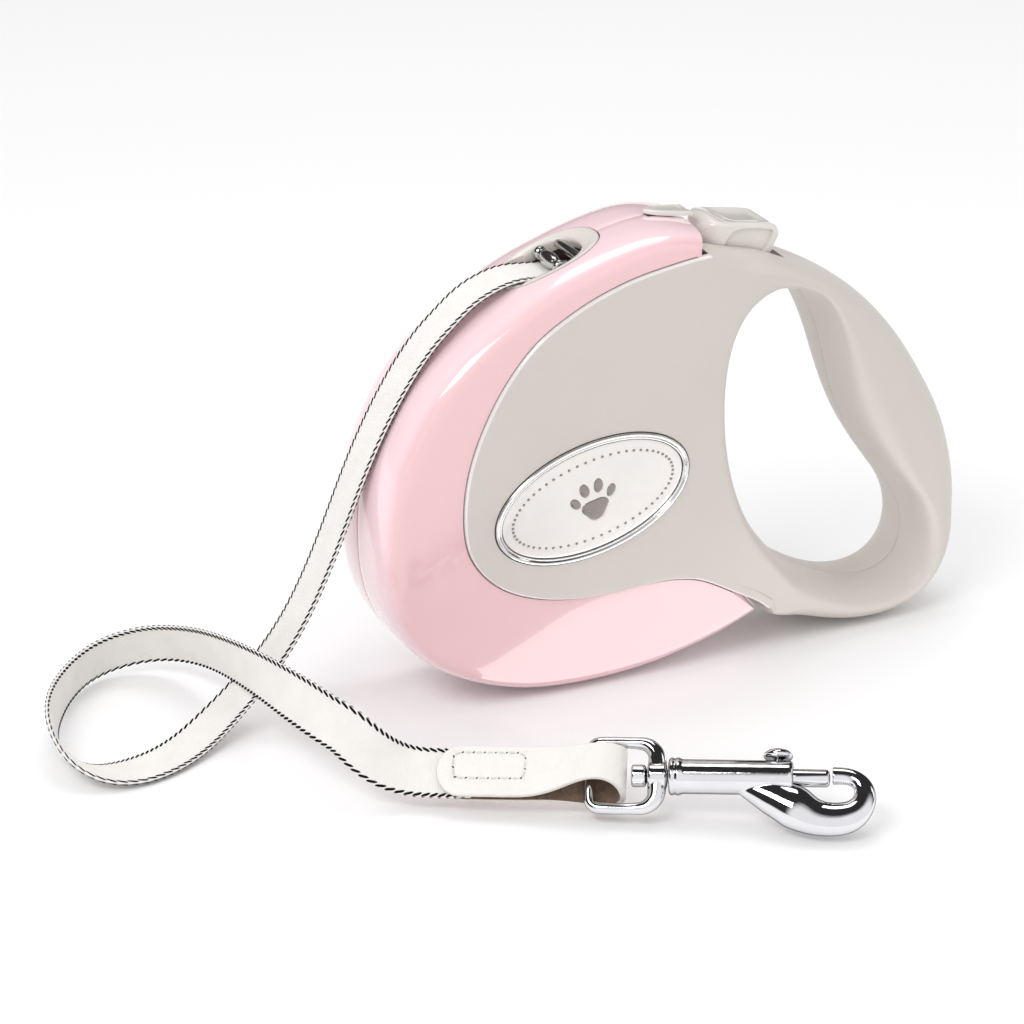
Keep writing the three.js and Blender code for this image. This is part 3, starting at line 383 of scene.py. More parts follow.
def wire(s, t, radius, seg, squash=1.0, closed=False):
    """Wire in the tab's s-t plane; squash flattens it along the plane's normal."""
    path = at_tab(s, t, np.zeros(len(s)))
    along = tangents(path, closed)
    up = unit(TAB_UP - (along @ TAB_UP)[:, None] * along)
    out = np.cross(along, up)
    angle = (np.arange(seg) / seg * 2 * math.pi)[None, :, None]
    section = np.cos(angle) * out[:, None] + squash * np.sin(angle) * up[:, None]
    rings = path[:, None] + radius[:, None, None] * section
    return loft(rings, "loop" if closed else "cap")


def capsule(start, end, up, half_width, half_height):
    """Short thread from start to end, thinner at both tips."""
    along = unit(end - start)
    length = np.linalg.norm(end - start)
    aside = unit(np.cross(up, along))
    angle = (np.arange(8) / 8 * 2 * math.pi)[:, None]
    rings = []
    for k in range(5):
        u = k / 4
        full = math.sqrt(max(0.0, 1 - (2 * u - 1) ** 4)) * 0.9 + 0.1
        section = half_width * full * np.cos(angle) * aside
        section = section + half_height * full * np.sin(angle) * up
        rings.append(start + along * length * u + section)
    return loft(rings, "cap")


def on_side(points, side, y):
    """Side-view points set at height y on the left (-1) or right (1) side."""
    return np.stack([points[:, 0], np.full(len(points), side * y), points[:, 1]], 1)


# ---------------------------------------------------------------- objects
def new_object(name, points, faces):
    """Object from points in metres of the frame."""
    mesh = bpy.data.meshes.new(name)
    mesh.from_pydata(points, [], [tuple(int(i) for i in face) for face in faces])
    ob = bpy.data.objects.new(name, mesh)
    bpy.context.scene.collection.objects.link(ob)
    return ob


def in_frame(points):
    return (np.asarray(points, float) * MM + OFFSET).tolist()


def shade(ob, angle):
    ob.data.polygons.foreach_set("use_smooth", [True] * len(ob.data.polygons))
    ob.data.set_sharp_from_angle(angle=math.radians(angle))
    ob.data.update()


def tidy_normals(mesh, weld=False):
    bm = bmesh.new()
    bm.from_mesh(mesh)
    if weld:
        bmesh.ops.remove_doubles(bm, verts=bm.verts, dist=1e-7)
    bmesh.ops.recalc_face_normals(bm, faces=bm.faces)
    bm.to_mesh(mesh)
    bm.free()


def make(name, shape, materials=(), slots=None, sharp=32):
    """Welded object from a shape in mm."""
    ob = new_object(name, in_frame(shape[0]), shape[1])
    mesh = ob.data
    mesh.validate()
    tidy_normals(mesh, weld=True)
    for mat in materials:
        mesh.materials.append(mat)
    # Slots follow the faces as built, so they only hold if welding dropped none
    if slots is not None and len(slots) == len(mesh.polygons):
        mesh.polygons.foreach_set("material_index", np.asarray(slots, np.int32))
    shade(ob, sharp)
    return ob


def make_plain(name, shape, materials, slots, sharp, uvs=None, recalculate=True):
    """Object from a shape in mm, unwelded, with a material slot for each face."""
    ob = new_object(name, in_frame(shape[0]), shape[1])
    mesh = ob.data
    for mat in materials:
        mesh.materials.append(mat)
    mesh.polygons.foreach_set("material_index", np.array(slots, np.int32))
    if uvs is not None:
        layer = mesh.uv_layers.new(name="along")
        corners = np.zeros(len(mesh.loops), np.int32)
        mesh.loops.foreach_get("vertex_index", corners)
        layer.data.foreach_set("uv", np.array(uvs)[corners].astype(np.float32).ravel())
    if recalculate:
        tidy_normals(mesh)
    shade(ob, sharp)
    return ob


def bake(ob):
    graph = bpy.context.evaluated_depsgraph_get()
    graph.update()
    mesh = bpy.data.meshes.new_from_object(ob.evaluated_get(graph))
    ob.modifiers.clear()
    old = ob.data
    ob.data = mesh
    bpy.data.meshes.remove(old)


def boolean(ob, shapes, operation="DIFFERENCE", sharp=32):
    cutters = [make("cutter", shape) for shape in shapes]
    for cutter in cutters:
        modifier = ob.modifiers.new("boolean", "BOOLEAN")
        modifier.operation = operation
        modifier.solver = "EXACT"
        modifier.object = cutter
    bake(ob)
    for cutter in cutters:
        bpy.data.objects.remove(cutter)
    shade(ob, sharp)


def soften(ob, turns):
    """Remesh and smooth a casting so that its joints run into one another."""
    modifier = ob.modifiers.new("remesh", "REMESH")
    modifier.mode = "VOXEL"
    modifier.voxel_size = 0.17 * MM
    modifier.use_smooth_shade = True
    bake(ob)
    modifier = ob.modifiers.new("smooth", "SMOOTH")
    modifier.factor = 0.5
    modifier.iterations = turns
    bake(ob)
    shade(ob, 60)


def ride(ob, body, slot_name, *nodes):
    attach(ob, body)
    if nodes:
        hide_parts(*nodes)


# ---------------------------------------------------------------- materials
def srgb(r, g, b):
    def linear(value):
        value /= 255
        return value / 12.92 if value <= 0.04045 else ((value + 0.055) / 1.055) ** 2.4
    return (linear(r), linear(g), linear(b), 1.0)


def add_node(tree, kind, inputs={}, **attributes):
    """New shader node; an input takes a value or, given a socket, a link."""
    node = tree.nodes.new("ShaderNode" + kind)
    for key, value in attributes.items():
        setattr(node, key, value)
    for key, value in inputs.items():
        if isinstance(value, bpy.types.NodeSocket):
            tree.links.new(value, node.inputs[key])
        else:
            node.inputs[key].default_value = value
    return node


def smooth_range(tree, socket, start, end, top=1.0):
    """0 at start, rising smoothly to top at end."""
    limits = {"Value": socket, "From Min": start, "From Max": end, "To Min": 0.0, "To Max": top}
    node = add_node(tree, "MapRange", limits, interpolation_type="SMOOTHSTEP")
    return node.outputs["Result"]


def new_material(name):
    mat = bpy.data.materials.new(name)
    mat.use_nodes = True
    return mat, mat.node_tree


def material(name, base, rough, metal=0.0, coat=0.0, ior=1.5, vary=0.04, scale=60,
             rough_vary=0.06, bumps=(), sheen=0.0, spec=0.5):
    """Principled material with cloudy tone and roughness.

    vary is the share of tone change and scale the cloud's; bumps are (kind, scale, distance in m).
    """
    mat, tree = new_material(name)
    shader = tree.nodes["Principled BSDF"]
    settings = {"Metallic": metal, "IOR": ior, "Coat Weight": coat, "Coat Roughness": 0.03,
                "Sheen Weight": sheen, "Specular IOR Level": spec}
    for key, value in settings.items():
        shader.inputs[key].default_value = value
    coords = add_node(tree, "TexCoord")
    place = coords.outputs["Object"]
    cloud = add_node(tree, "TexNoise", {"Scale": scale, "Detail": 5, "Vector": place})
    ramp = add_node(tree, "ValToRGB", {"Fac": cloud.outputs["Fac"]})
    dark, light = ramp.color_ramp.elements
    dark.position, light.position = 0.3, 0.7
    dark.color = tuple(c * (1 - vary) for c in base[:3]) + (1,)
    light.color = tuple(min(1, c * (1 + vary)) for c in base[:3]) + (1,)
    tree.links.new(ramp.outputs["Color"], shader.inputs["Base Color"])
    mottle = add_node(tree, "TexNoise", {"Scale": scale * 7, "Detail": 4, "Vector": place})
    spread = add_node(tree, "MapRange", {
        "To Min": max(0.01, rough - rough_vary), "To Max": rough + rough_vary,
        "Value": mottle.outputs["Fac"]})
    tree.links.new(spread.outputs["Result"], shader.inputs["Roughness"])
    normal = None
    for kind, bump_scale, distance in bumps:
        inputs = {"Scale": bump_scale, "Vector": place}
        if kind == "noise":
            height = add_node(tree, "TexNoise", {**inputs, "Detail": 3}).outputs["Fac"]
        elif kind == "grain":
            cells = add_node(tree, "TexVoronoi", inputs, feature="SMOOTH_F1")
            height = cells.outputs["Distance"]
        else:
            # Ribs across the length, laid by the UV map
            ribs = {**inputs, "Vector": coords.outputs["UV"], "Distortion": 0.4, "Detail": 1}
            height = add_node(tree, "TexWave", ribs, wave_type="BANDS",
                              bands_direction="Y").outputs["Fac"]
        bump = add_node(tree, "Bump", {"Distance": distance, "Height": height})
        if normal is not None:
            tree.links.new(normal, bump.inputs["Normal"])
        normal = bump.outputs["Normal"]
    if normal is not None:
        tree.links.new(normal, shader.inputs["Normal"])
    return mat


def rim_painted_reflection(mat, tone, amount):
    """Painted reflection: base colour mixed towards a lighter tone on faces that turn away from the
    flat sides.
    """
    tree = mat.node_tree
    colour = tree.nodes["Principled BSDF"].inputs["Base Color"]
    flat_colour = colour.links[0].from_socket
    geometry = add_node(tree, "NewGeometry")
    split = add_node(tree, "SeparateXYZ", {"Vector": geometry.outputs["Normal"]})
    facing = add_node(tree, "Math", {0: split.outputs["Y"]}, operation="ABSOLUTE")
    share = smooth_range(tree, facing.outputs["Value"], start=0.85, end=0.25, top=amount)
    mix = add_node(tree, "Mix", {"Factor": share, "A": flat_colour, "B": tone}, data_type="RGBA")
    tree.links.new(mix.outputs["Result"], colour)


def painted_dark_reflection(mat, start, end, amount):
    """Painted dark reflection: a dark glossy shader mixed into the metal where its surface turns
    away from the eye.
    """
    tree = mat.node_tree
    weight = add_node(tree, "LayerWeight", {"Blend": 0.5})
    share = smooth_range(tree, weight.outputs["Facing"], start, end, amount)
    dark = add_node(tree, "BsdfGlossy", {"Color": (0.05, 0.048, 0.046, 1), "Roughness": 0.2})
    metal = tree.nodes["Principled BSDF"].outputs["BSDF"]
    mix = add_node(tree, "MixShader", {"Fac": share, 1: metal, 2: dark.outputs["BSDF"]})
    tree.links.new(mix.outputs["Shader"], tree.nodes["Material Output"].inputs["Surface"])


PINK = material("m_pink_moulding", srgb(238, 196, 199), rough=0.16, coat=1.0, vary=0.012,
                scale=25, rough_vary=0.04, bumps=(("noise", 90, 0.00003),))
GREY = material("m_grey_grip", srgb(208, 201, 194), rough=0.42, ior=1.45, vary=0.018, scale=30,
                bumps=(("noise", 2600, 0.00002), ("grain", 1500, 0.000012)))
# The lip's lighter grey is a painted highlight; its gloss (low roughness, coat) is real
LIP_HIGHLIGHT_GREY = material("m_grey_glossy_lip_painted_highlight", srgb(232, 229, 226), rough=0.16, coat=1.0, vary=0.015,
                    bumps=(("noise", 900, 0.000006),))
# Painted reflection: the pink rim is lightened where it faces away from the flat sides
rim_painted_reflection(PINK, tone=srgb(253, 230, 236), amount=0.62)
BEZEL = material("m_exit_bezel", srgb(220, 214, 207), rough=0.26, coat=0.5, vary=0.02,
                 bumps=(("noise", 1200, 0.00001),))
KEY = material("m_thumb_key", srgb(224, 219, 212), rough=0.2, coat=1.0, vary=0.02, scale=80,
               bumps=(("noise", 700, 0.00001),))
CHROME = material("m_chrome", (0.84, 0.84, 0.86, 1), rough=0.05, metal=1.0, vary=0.03, scale=120,
                  rough_vary=0.035, bumps=(("noise", 260, 0.00002), ("noise", 2200, 0.000003)))
BADGE_CHROME = material("m_badge_chrome", (0.80, 0.79, 0.79, 1), rough=0.09, metal=1.0, vary=0.03,
                        scale=100, rough_vary=0.03, bumps=(("noise", 900, 0.000004),))
NICKEL = material("m_roller_nickel", (0.66, 0.64, 0.62, 1), rough=0.22, metal=1.0, vary=0.03,
                  scale=150, rough_vary=0.05, bumps=(("noise", 900, 0.000004),))
# Painted dark reflections along the edges of the chrome parts
painted_dark_reflection(CHROME, start=0.42, end=0.8, amount=0.85)
painted_dark_reflection(BADGE_CHROME, start=0.5, end=0.85, amount=0.7)
PEARL = material("m_badge_pearl", srgb(236, 232, 228), rough=0.24, metal=0.25, coat=0.8,
                 vary=0.03, scale=140, bumps=(("noise", 1800, 0.000006),))
MOTIF = material("m_badge_motif", srgb(150, 143, 140), rough=0.22, metal=0.85, vary=0.05,
                 scale=200, bumps=(("noise", 1500, 0.00001),))
STEEL = material("m_steel", (0.55, 0.55, 0.57, 1), rough=0.28, metal=1.0, vary=0.08, scale=150,
                 bumps=(("noise", 900, 0.00001),))
ZINC = material("m_screw_zinc", (0.5, 0.5, 0.52, 1), rough=0.3, metal=1.0, vary=0.12, scale=300,
                bumps=(("noise", 1400, 0.00002),))
NYLON = material("m_nylon", srgb(222, 219, 211), rough=0.42, vary=0.03,
                 bumps=(("noise", 800, 0.00002),))
BLACK = material("m_black_moulding", (0.03, 0.03, 0.032, 1), rough=0.5, vary=0.2,
                 bumps=(("noise", 1000, 0.00002),))
TAPE = material("m_woven_tape", srgb(238, 235, 231), rough=0.82, vary=0.03, scale=160, sheen=0.1,
                spec=0.25, bumps=(("wave", 1.55, 0.00003), ("noise", 2500, 0.00002)))
DARK_THREAD = material("m_edge_thread_dark", srgb(14, 14, 16), rough=0.8, vary=0.25, scale=900,
                       spec=0.15, bumps=(("noise", 4000, 0.00006),))
LEATHER = material("m_leather", srgb(233, 230, 225), rough=0.42, vary=0.02, scale=90, spec=0.4,
                   bumps=(("grain", 900, 0.00014), ("noise", 380, 0.00018)))
FLESH = material("m_leather_flesh", srgb(118, 96, 78), rough=0.9, vary=0.25, scale=700, sheen=0.4,
                 bumps=(("noise", 1800, 0.00025),))
LEATHER_EDGE = material("m_leather_edge", srgb(226, 221, 214), rough=0.6, vary=0.06, scale=500,
                        bumps=(("noise", 2500, 0.00008),))
SEAM_THREAD = material("m_seam_thread", srgb(214, 211, 205), rough=0.7, vary=0.08, scale=900,
                       bumps=(("noise", 3500, 0.00006),))
# Painted shade: dark marks standing for the shade inside the needle holes
NEEDLE_HOLE_SHADE = material("m_needle_hole_painted_shade", srgb(84, 80, 76), rough=0.8, vary=0.2, scale=800)
BY_SLOT = dict(pink_plastic=PINK, grey_plastic=GREY, chrome=CHROME, badge_plate=PEARL,
               button_plastic=KEY, nylon=NYLON, black_plastic=BLACK, steel=STEEL, tape=TAPE,
               leather=LEATHER)
for part in frame["record"]["subparts"]:
    ob = frame["nodes"][part["node"]]
    ob.data.materials.clear()
    ob.data.materials.append(BY_SLOT[part["material_slot"]])


# ---------------------------------------------------------------- case
RIM_LINE = resample(BODY_RIM, 320, fair=400)
BACK_LINE = resample(BODY_BACK, 50, fair=5)
PANEL_LINE = resample(PANEL_EDGE, 300, fair=300)
GRIP_LINE = resample(GRIP_EDGE, 320, fair=500)
HOLE_LINE = resample(HAND_HOLE, 400, closed=True, fair=800)


class Spokes:
    """Rays in side view from a centre to every point of an outline made of two lines.

    `stretch` turns an inset square to the outline into one along the ray.
    """

    def __init__(self, centre, first, second, least, side):
        self.centre, self.side = np.array(centre), side
        self.line = np.vstack([first, second])
        self.on_first = np.arange(len(self.line)) < len(first)
        along = np.vstack([tangents(first), tangents(second)])
        offset = self.line - self.centre
        self.reach = np.linalg.norm(offset, axis=1)
        self.ray = offset / self.reach[:, None]
        sine = np.abs(self.ray[:, 0] * along[:, 1] - self.ray[:, 1] * along[:, 0])
        self.stretch = 1 / np.maximum(least, sine)

    def x(self, reach):
        return self.centre[0] + self.ray[:, 0] * reach

    def ring(self, reach, y):
        y = self.side * np.broadcast_to(y, reach.shape)
        return np.stack([self.x(reach), y, self.centre[1] + self.ray[:, 1] * reach], 1)

    def hit(self, line, closed):
        return ray_reach(self.centre, self.ray, line, closed)

    def reach_of(self, ring):
        return np.linalg.norm(ring[:, [0, 2]] - self.centre, axis=1)


def screw_wells(screws):
    return [y_rod(x, z, 2.9, top - 1.8, 20, 0.02) for x, z, top in screws]


# Inner wall of the housing: inset from the outline, y
HOUSING_INSIDE = [(6.4, 12.7), (5.2, 12.6), (4.4, 12.1), (3.4, 11.0), (2.7, 9.4), (2.3, 6.5),
                  (WALL, 3.0), (WALL, SEAM_Y)]


def housing(side):
    spokes = Spokes((10.0, 58.0), RIM_LINE, BACK_LINE, 0.62, side)
    reach, stretch, back = spokes.reach, spokes.stretch, ~spokes.on_first
    panel = spokes.hit(PANEL_LINE, False)
    rings = []
    for inset, y in HOUSING_INSIDE:
        back_reach = reach - (1.7 + (inset - WALL) * 0.35) * stretch
        rings.append(spokes.ring(np.where(back, back_reach, reach - inset * stretch), y))

    # Small seam bevel, then the rounded rim, stopped where it meets the panel's edge
    profile = [(0.22, SEAM_Y), (0.06, 0.2), (0.0, 0.42)]
    for angle in np.linspace(0.05, math.pi / 2, 30):
        inward, rise = rounded(angle, EDGE_POWER)
        if BODY_Y * rise > 0.6:
            profile.append((EDGE_DEPTH * inward, BODY_Y * rise))
    for inset, y in profile:
        height = y / BODY_Y
        rim = np.maximum(reach - inset * stretch, panel + (1 - height) * 0.4 + 0.05)
        rim_y = y
        if inset > 0.3:
            x = np.clip((reach - rim) / stretch / EDGE_DEPTH, 0, 1)
            rim_y = np.minimum(y, (1 - (1 - x) ** EDGE_POWER) ** (1 / EDGE_POWER) * BODY_Y)
        back_reach = reach - min(1, inset / EDGE_DEPTH) * BACK_INSET * stretch
        rings.append(spokes.ring(np.where(back, back_reach, rim),
                                 np.where(back, height * RECESS_Y, rim_y)))

    # Outer side from the rim to the panel's edge, then down into the recess under the panel
    last = spokes.reach_of(rings[-1])
    top = np.abs(rings[-1][:, 1])
    for k in np.linspace(0.1, 1.0, 10):
        back_reach = reach - (BACK_INSET + 0.4 * k) * stretch
        rings.append(spokes.ring(np.where(back, back_reach, last + (panel - last) * k), top))
    for back_inset, inset in ((3.0, 0.02), (6.0, 3.0)):
        edge = np.where(back, reach - back_inset * stretch, panel - inset)
        rings.append(spokes.ring(edge, RECESS_Y))

    x, z = spokes.centre
    shape = loft(rings, "fan", [(x, side * FLOOR_Y, z), (x, side * RECESS_Y, z)])
    name = "left" if side < 0 else "right"
    ob = make("housing_" + name, shape, [PINK], sharp=40)
    cuts = [prism(stadium(BEZEL_A + SEAT_GAP, BEZEL_B + SEAT_GAP, 72), -6, 5, at_exit),
            prism(rectangle(35.8, 46.6, 105, 119), -1.8, 1.8)]      # slot for the lock key
    if side > 0:
        cuts += screw_wells(SCREWS[:3])
    boolean(ob, cuts, sharp=40)
    ride(ob, "case", "pink_plastic", "shell_" + name)


# Glossy lip round the panel, given a lighter grey as a painted highlight: inset from its edge, y
PANEL_LIP = [(LIP_INSET, UNDER_Y), (LIP_INSET, 15.7), (LIP_INSET, 16.2)]
PANEL_LIP += [(LIP_INSET + 0.85 * (1 - math.cos(a)), 16.25 + 0.85 * math.sin(a))
              for a in np.linspace(0.1, math.pi / 2, 13)]
PANEL_LIP += [(1.6, PANEL_Y), (2.6, PANEL_Y)]


def cover(side):
    """Cover panel and grip in one piece, skinned from its outer edge to the hand hole and back."""
    spokes = Spokes((79.0, 52.0), PANEL_LINE, GRIP_LINE, 0.6, side)
    reach, stretch, panel = spokes.reach, spokes.stretch, spokes.on_first
    hole = spokes.hit(HOLE_LINE, True)
    web = reach - hole
    gripness = smooth_step((spokes.line[:, 0] - 50) / 50)
    power = 2.6 + (GRIP_POWER - 2.6) * gripness
    outer_depth = np.minimum((EDGE_DEPTH + (GRIP_DEPTH - EDGE_DEPTH) * gripness) * stretch,
                             0.46 * web)
    # The grip's rounding starts small at both of its ends
    arc = arc_length(GRIP_LINE)
    grow = smooth_step(arc / 13) * smooth_step((arc[-1] - arc) / 13)
    grow = np.concatenate([np.ones(len(PANEL_LINE)), grow])
    small = 2.0 * stretch
    outer_depth = np.where(panel, outer_depth, small + (outer_depth - small) * grow)
    hole_depth = np.minimum(4.5 + 5 * smooth_step((spokes.x(hole) - 60) / 35), 0.46 * web)

    def half_width(at):
        return PANEL_Y - (PANEL_Y - GRIP_Y) * smooth_step((spokes.x(at) - 50) / 55)

    def edge(angle, start, depth, way):
        """Reach and y on a rounded edge that runs from start towards way."""
        if angle == 0:
            return start + way * 0.2, np.full(len(start), SEAM_Y)
        inward, rise = rounded(angle, power)
        at = start + way * inward * depth
        return at, np.maximum(SEAM_Y, rise * half_width(at))

    rows = []
    angles = np.concatenate([[0], np.linspace(0.06, math.pi / 2, 17)])
    for angle, (inset, y) in zip(angles, PANEL_LIP):
        grip_reach, grip_y = edge(angle, reach, outer_depth, -1)
        rows.append(spokes.ring(np.where(panel, reach - inset * stretch, grip_reach),
                                np.where(panel, y, grip_y)))
    start, end = spokes.reach_of(rows[-1]), hole + hole_depth
    for t in np.linspace(0.04, 0.96, 34):
        at = start + (end - start) * t
        rows.append(spokes.ring(at, half_width(at)))
    for angle in angles[::-1]:
        rows.append(spokes.ring(*edge(angle, hole, hole_depth, 1)))

    # Inside, back from the hole to the outer edge
    hole_wall = hole + np.minimum(WALL, 0.3 * web)
    outer_wall = reach - np.minimum(WALL * stretch, 0.3 * web)
    inner, lip = hole_wall + 0.42 * hole_depth, reach - LIP_INSET * stretch
    outer = outer_wall - 0.42 * outer_depth

    def underside(at):
        return np.where(panel, UNDER_Y, half_width(at) - WALL)

    rows += [spokes.ring(hole_wall, SEAM_Y),
             spokes.ring(hole_wall + 0.15, 0.5 * half_width(hole)),
             spokes.ring(inner, underside(inner))]
    for k, grip_reach, grip_y in ((0.35, outer, underside(outer)),
                                  (0.65, outer_wall - 0.15, 0.5 * half_width(reach)),
                                  (0.88, outer_wall, SEAM_Y)):
        rows.append(spokes.ring(np.where(panel, inner + (lip - inner) * k, grip_reach),
                                np.where(panel, UNDER_Y, grip_y)))

    shape = loft(np.swapaxes(np.array(rows), 0, 1))
    # The lip rows take the lighter grey: a painted highlight along the panel's edge
    highlit_lip_rows, count = 11, len(rows)
    slots = [int(k // count < len(PANEL_LINE) - 1 and k % count < highlit_lip_rows)
             for k in range(len(shape[1]))]
    name = "left" if side < 0 else "right"
    ob = make("cover_grip_" + name, shape, [GREY, LIP_HIGHLIGHT_GREY], slots, sharp=40)
    cuts = [prism(rectangle(47.9, 70.8, 98.9, 125), -7.3, 7.3),     # opening for the thumb key
            prism(oval(BADGE_A + SEAT_GAP, BADGE_B + SEAT_GAP), side * 16.2, side * 19)]
    if side > 0:
        cuts += screw_wells(SCREWS[3:])
    boolean(ob, cuts, sharp=40)
    ride(ob, "case", "grey_plastic", "cover_" + name)


# ---------------------------------------------------------------- badge
# Section of the chrome rim: inset from the badge's outline, y
BADGE_RIM = [
    (0, 16.5), (0, 17.05), (0.03, 17.35), (0.12, 17.55), (0.28, 17.68), (0.45, 17.74),
    (0.62, 17.7), (0.8, 17.55), (0.95, 17.34), (1.06, 17.26), (1.16, 17.32), (1.28, 17.4),
    (1.42, 17.4), (1.52, 17.3), (1.56, 17.1), (1.56, 16.5)]
# Paw pads: centre x and z, half axes, rotation, three-lobed share
PAW = [(0, -2.6, 3.5, 2.9, 0, -0.13), (-4.9, 0.6, 1.15, 1.75, 0.5, 0),
       (-1.9, 3.1, 1.25, 1.95, 0.15, 0), (1.9, 3.1, 1.25, 1.95, -0.15, 0),
       (4.9, 0.6, 1.15, 1.75, -0.5, 0)]
# Section of a pad: share of its size, lift off the plate
PAD_SECTION = [(1.0, -0.15), (1.0, 0.06), (0.97, 0.12), (0.9, 0.17), (0.7, 0.21), (0.35, 0.23)]


def badge_rim(side, name):
    outline = oval(BADGE_A, BADGE_B, 160)
    along = tangents(outline, True)
    inward = np.stack([-along[:, 1], along[:, 0]], 1)
    rings = [on_side(outline + inward * inset, side, y) for inset, y in BADGE_RIM]
    ob = make("badge_rim_" + name, loft(rings), [BADGE_CHROME], sharp=60)
    ride(ob, "case", "chrome", "badge_ring_" + name)


def badge_face(side, name):
    section = [(1.0, BADGE_BASE_Y), (1.0, 17.1), (0.995, 17.2), (0.98, PLATE_Y)]
    section += [(k, PLATE_Y + PLATE_DOME * (1 - k ** 2)) for k in np.linspace(0.94, 0.06, 16)]
    rings = [on_side(oval(PLATE_A * k, PLATE_B * k), side, y) for k, y in section]
    centres = [(BADGE_X, side * y, BADGE_Z) for y in (BADGE_BASE_Y, PLATE_Y + PLATE_DOME)]
    ob = make("badge_face_" + name, loft(rings, "fan", centres), [PEARL], sharp=50)
    ride(ob, "case", "badge_plate", "badge_plate_" + name)


def badge_motif(side, name):
    """Paw print and beaded border, raised a little from the plate."""
    c, s = math.cos(BADGE_TILT), math.sin(BADGE_TILT)

    def raised(x, z, lift):
        x *= -side
        y = PLATE_Y + PLATE_DOME * (1 - min(1, (x / PLATE_A) ** 2 + (z / PLATE_B) ** 2)) + lift
        return (BADGE_X + x * c - z * s, side * y, BADGE_Z + x * s + z * c)

    def pad(x, z, a, b, turn, lobes, count=40):
        rings = []
        for k, lift in PAD_SECTION:
            ring = []
            for i in range(count):
                angle = i / count * 2 * math.pi
                size = k * (1 + lobes * math.cos(3 * (angle - math.pi / 2)))
                u, v = a * size * math.cos(angle), b * size * math.sin(angle)
                ring.append(raised(x + u * math.cos(turn) - v * math.sin(turn),
                                   z + u * math.sin(turn) + v * math.cos(turn), lift))
            rings.append(ring)
        return loft(rings, "fan", [raised(x, z, -0.15), raised(x, z, 0.235)])

    parts = [pad(*row) for row in PAW]
    beads, border_a, border_b, bead = 60, 21.9, 10.2, 0.36
    for i in range(beads):
        t = i / beads * 2 * math.pi
        parts.append(pad(border_a * math.cos(t), border_b * math.sin(t), bead, bead, 0, 0, 12))
    ob = make("badge_motif_" + name, merge(parts), [MOTIF], sharp=60)
    ride(ob, "case", "badge_plate")


# ---------------------------------------------------------------- tape exit, screws and rollers
# Bezel section: share of the way from outer to inner outline, height, how far it follows the rim
BEZEL_SECTION = [
    (0.1, -3.2, 0), (0.0, -2.9, 0), (0, -0.35, 1), (0.012, -0.02, 1), (0.04, 0.17, 1),
    (0.09, 0.26, 1), (0.2, 0.25, 1), (0.4, 0.12, 1), (0.6, -0.08, 1), (0.78, -0.28, 1),
    (0.88, -0.42, 1), (0.95, -0.68, 1), (0.99, -1.05, 1), (1.0, -1.6, 0.8), (1.0, -2.6, 0.2),
    (0.97, -3.2, 0)]
# Groove cut through the bezel on the -X side for the tape, columns x, z
BEZEL_GROOVE = [(-9, 105.45), (-3.5, 105.45), (0.5, 105.6), (4, 105.75), (6.5, 105.9),
                (6.5, 113), (-9, 113)]


def rim_height(along):
    """Height of the rim over the bezel's own plane, along the exit."""
    offset = RIM_LINE - EXIT_ORIGIN[[0, 2]]
    a, out = offset @ EXIT_ALONG[[0, 2]], offset @ EXIT_OUT[[0, 2]]
    near = (np.abs(a) < 25) & (np.abs(out) < 25)
    a, out = a[near], out[near]
    order = np.argsort(a)
    return np.interp(along, a[order], out[order])


def rim_drop(across):
    """Fall of the rounded rim away from the mid-plane."""
    x = np.clip(np.abs(across) / BODY_Y, 0, 1)
    return EDGE_DEPTH * (1 - (1 - x ** EDGE_POWER) ** (1 / EDGE_POWER))


def bezel():
    outer = stadium(BEZEL_A, BEZEL_B, 144)
    inner = stadium(8.3, 6.75, 144) + np.array([0.6, 0])
    rings = []
    for share, height, follow in BEZEL_SECTION:
        p = outer * (1 - share) + inner * share
        out = height + follow * (rim_height(p[:, 0]) - rim_drop(p[:, 1]))
        rings.append(EXIT_ORIGIN + p[:, :1] * EXIT_ALONG + p[:, 1:] * EY + out[:, None] * EXIT_OUT)
    ob = make("exit_bezel_trim", loft(rings), [BEZEL], sharp=45)
    boolean(ob, [prism(BEZEL_GROOVE, -6.6, 6.6)], sharp=45)
    ride(ob, "case", "grey_plastic", "exit_bezel")


# Screw head: radius, height over its seat
SCREW_HEAD = [(1.45, 0), (2.3, 0), (2.6, 0.15), (2.62, 0.6), (2.5, 0.95), (2.2, 1.2), (1.6, 1.4),
              (0.8, 1.5), (0, 1.52)]


def screws():
    for i, (x, z, top) in enumerate(SCREWS):
        seat = top - 1.5
        profile = [(0, -6), (1.0, -6), (1.45, -5.5)] + [(r, seat + h) for r, h in SCREW_HEAD]
        ob = make("screw_%d" % (i + 1), y_lathe(x, z, profile, 40), [ZINC], sharp=40)
        cuts = []
        for k in (0, 1):
            # Each cross recess is turned by its own angle
            angle = 0.5 + i + k * math.pi / 2
            along = np.array([math.cos(angle), math.sin(angle)])
            aside = np.array([-along[1], along[0]])
            outline = [np.array([x, z]) + along * p + aside * q
                       for p, q in rectangle(-1.5, 1.5, -0.33, 0.33)]
            cuts.append(prism(outline, seat + 0.35, seat + 3))
        boolean(ob, cuts, sharp=35)
        ride(ob, "case", "steel", "case_screw_%d" % (i + 1))


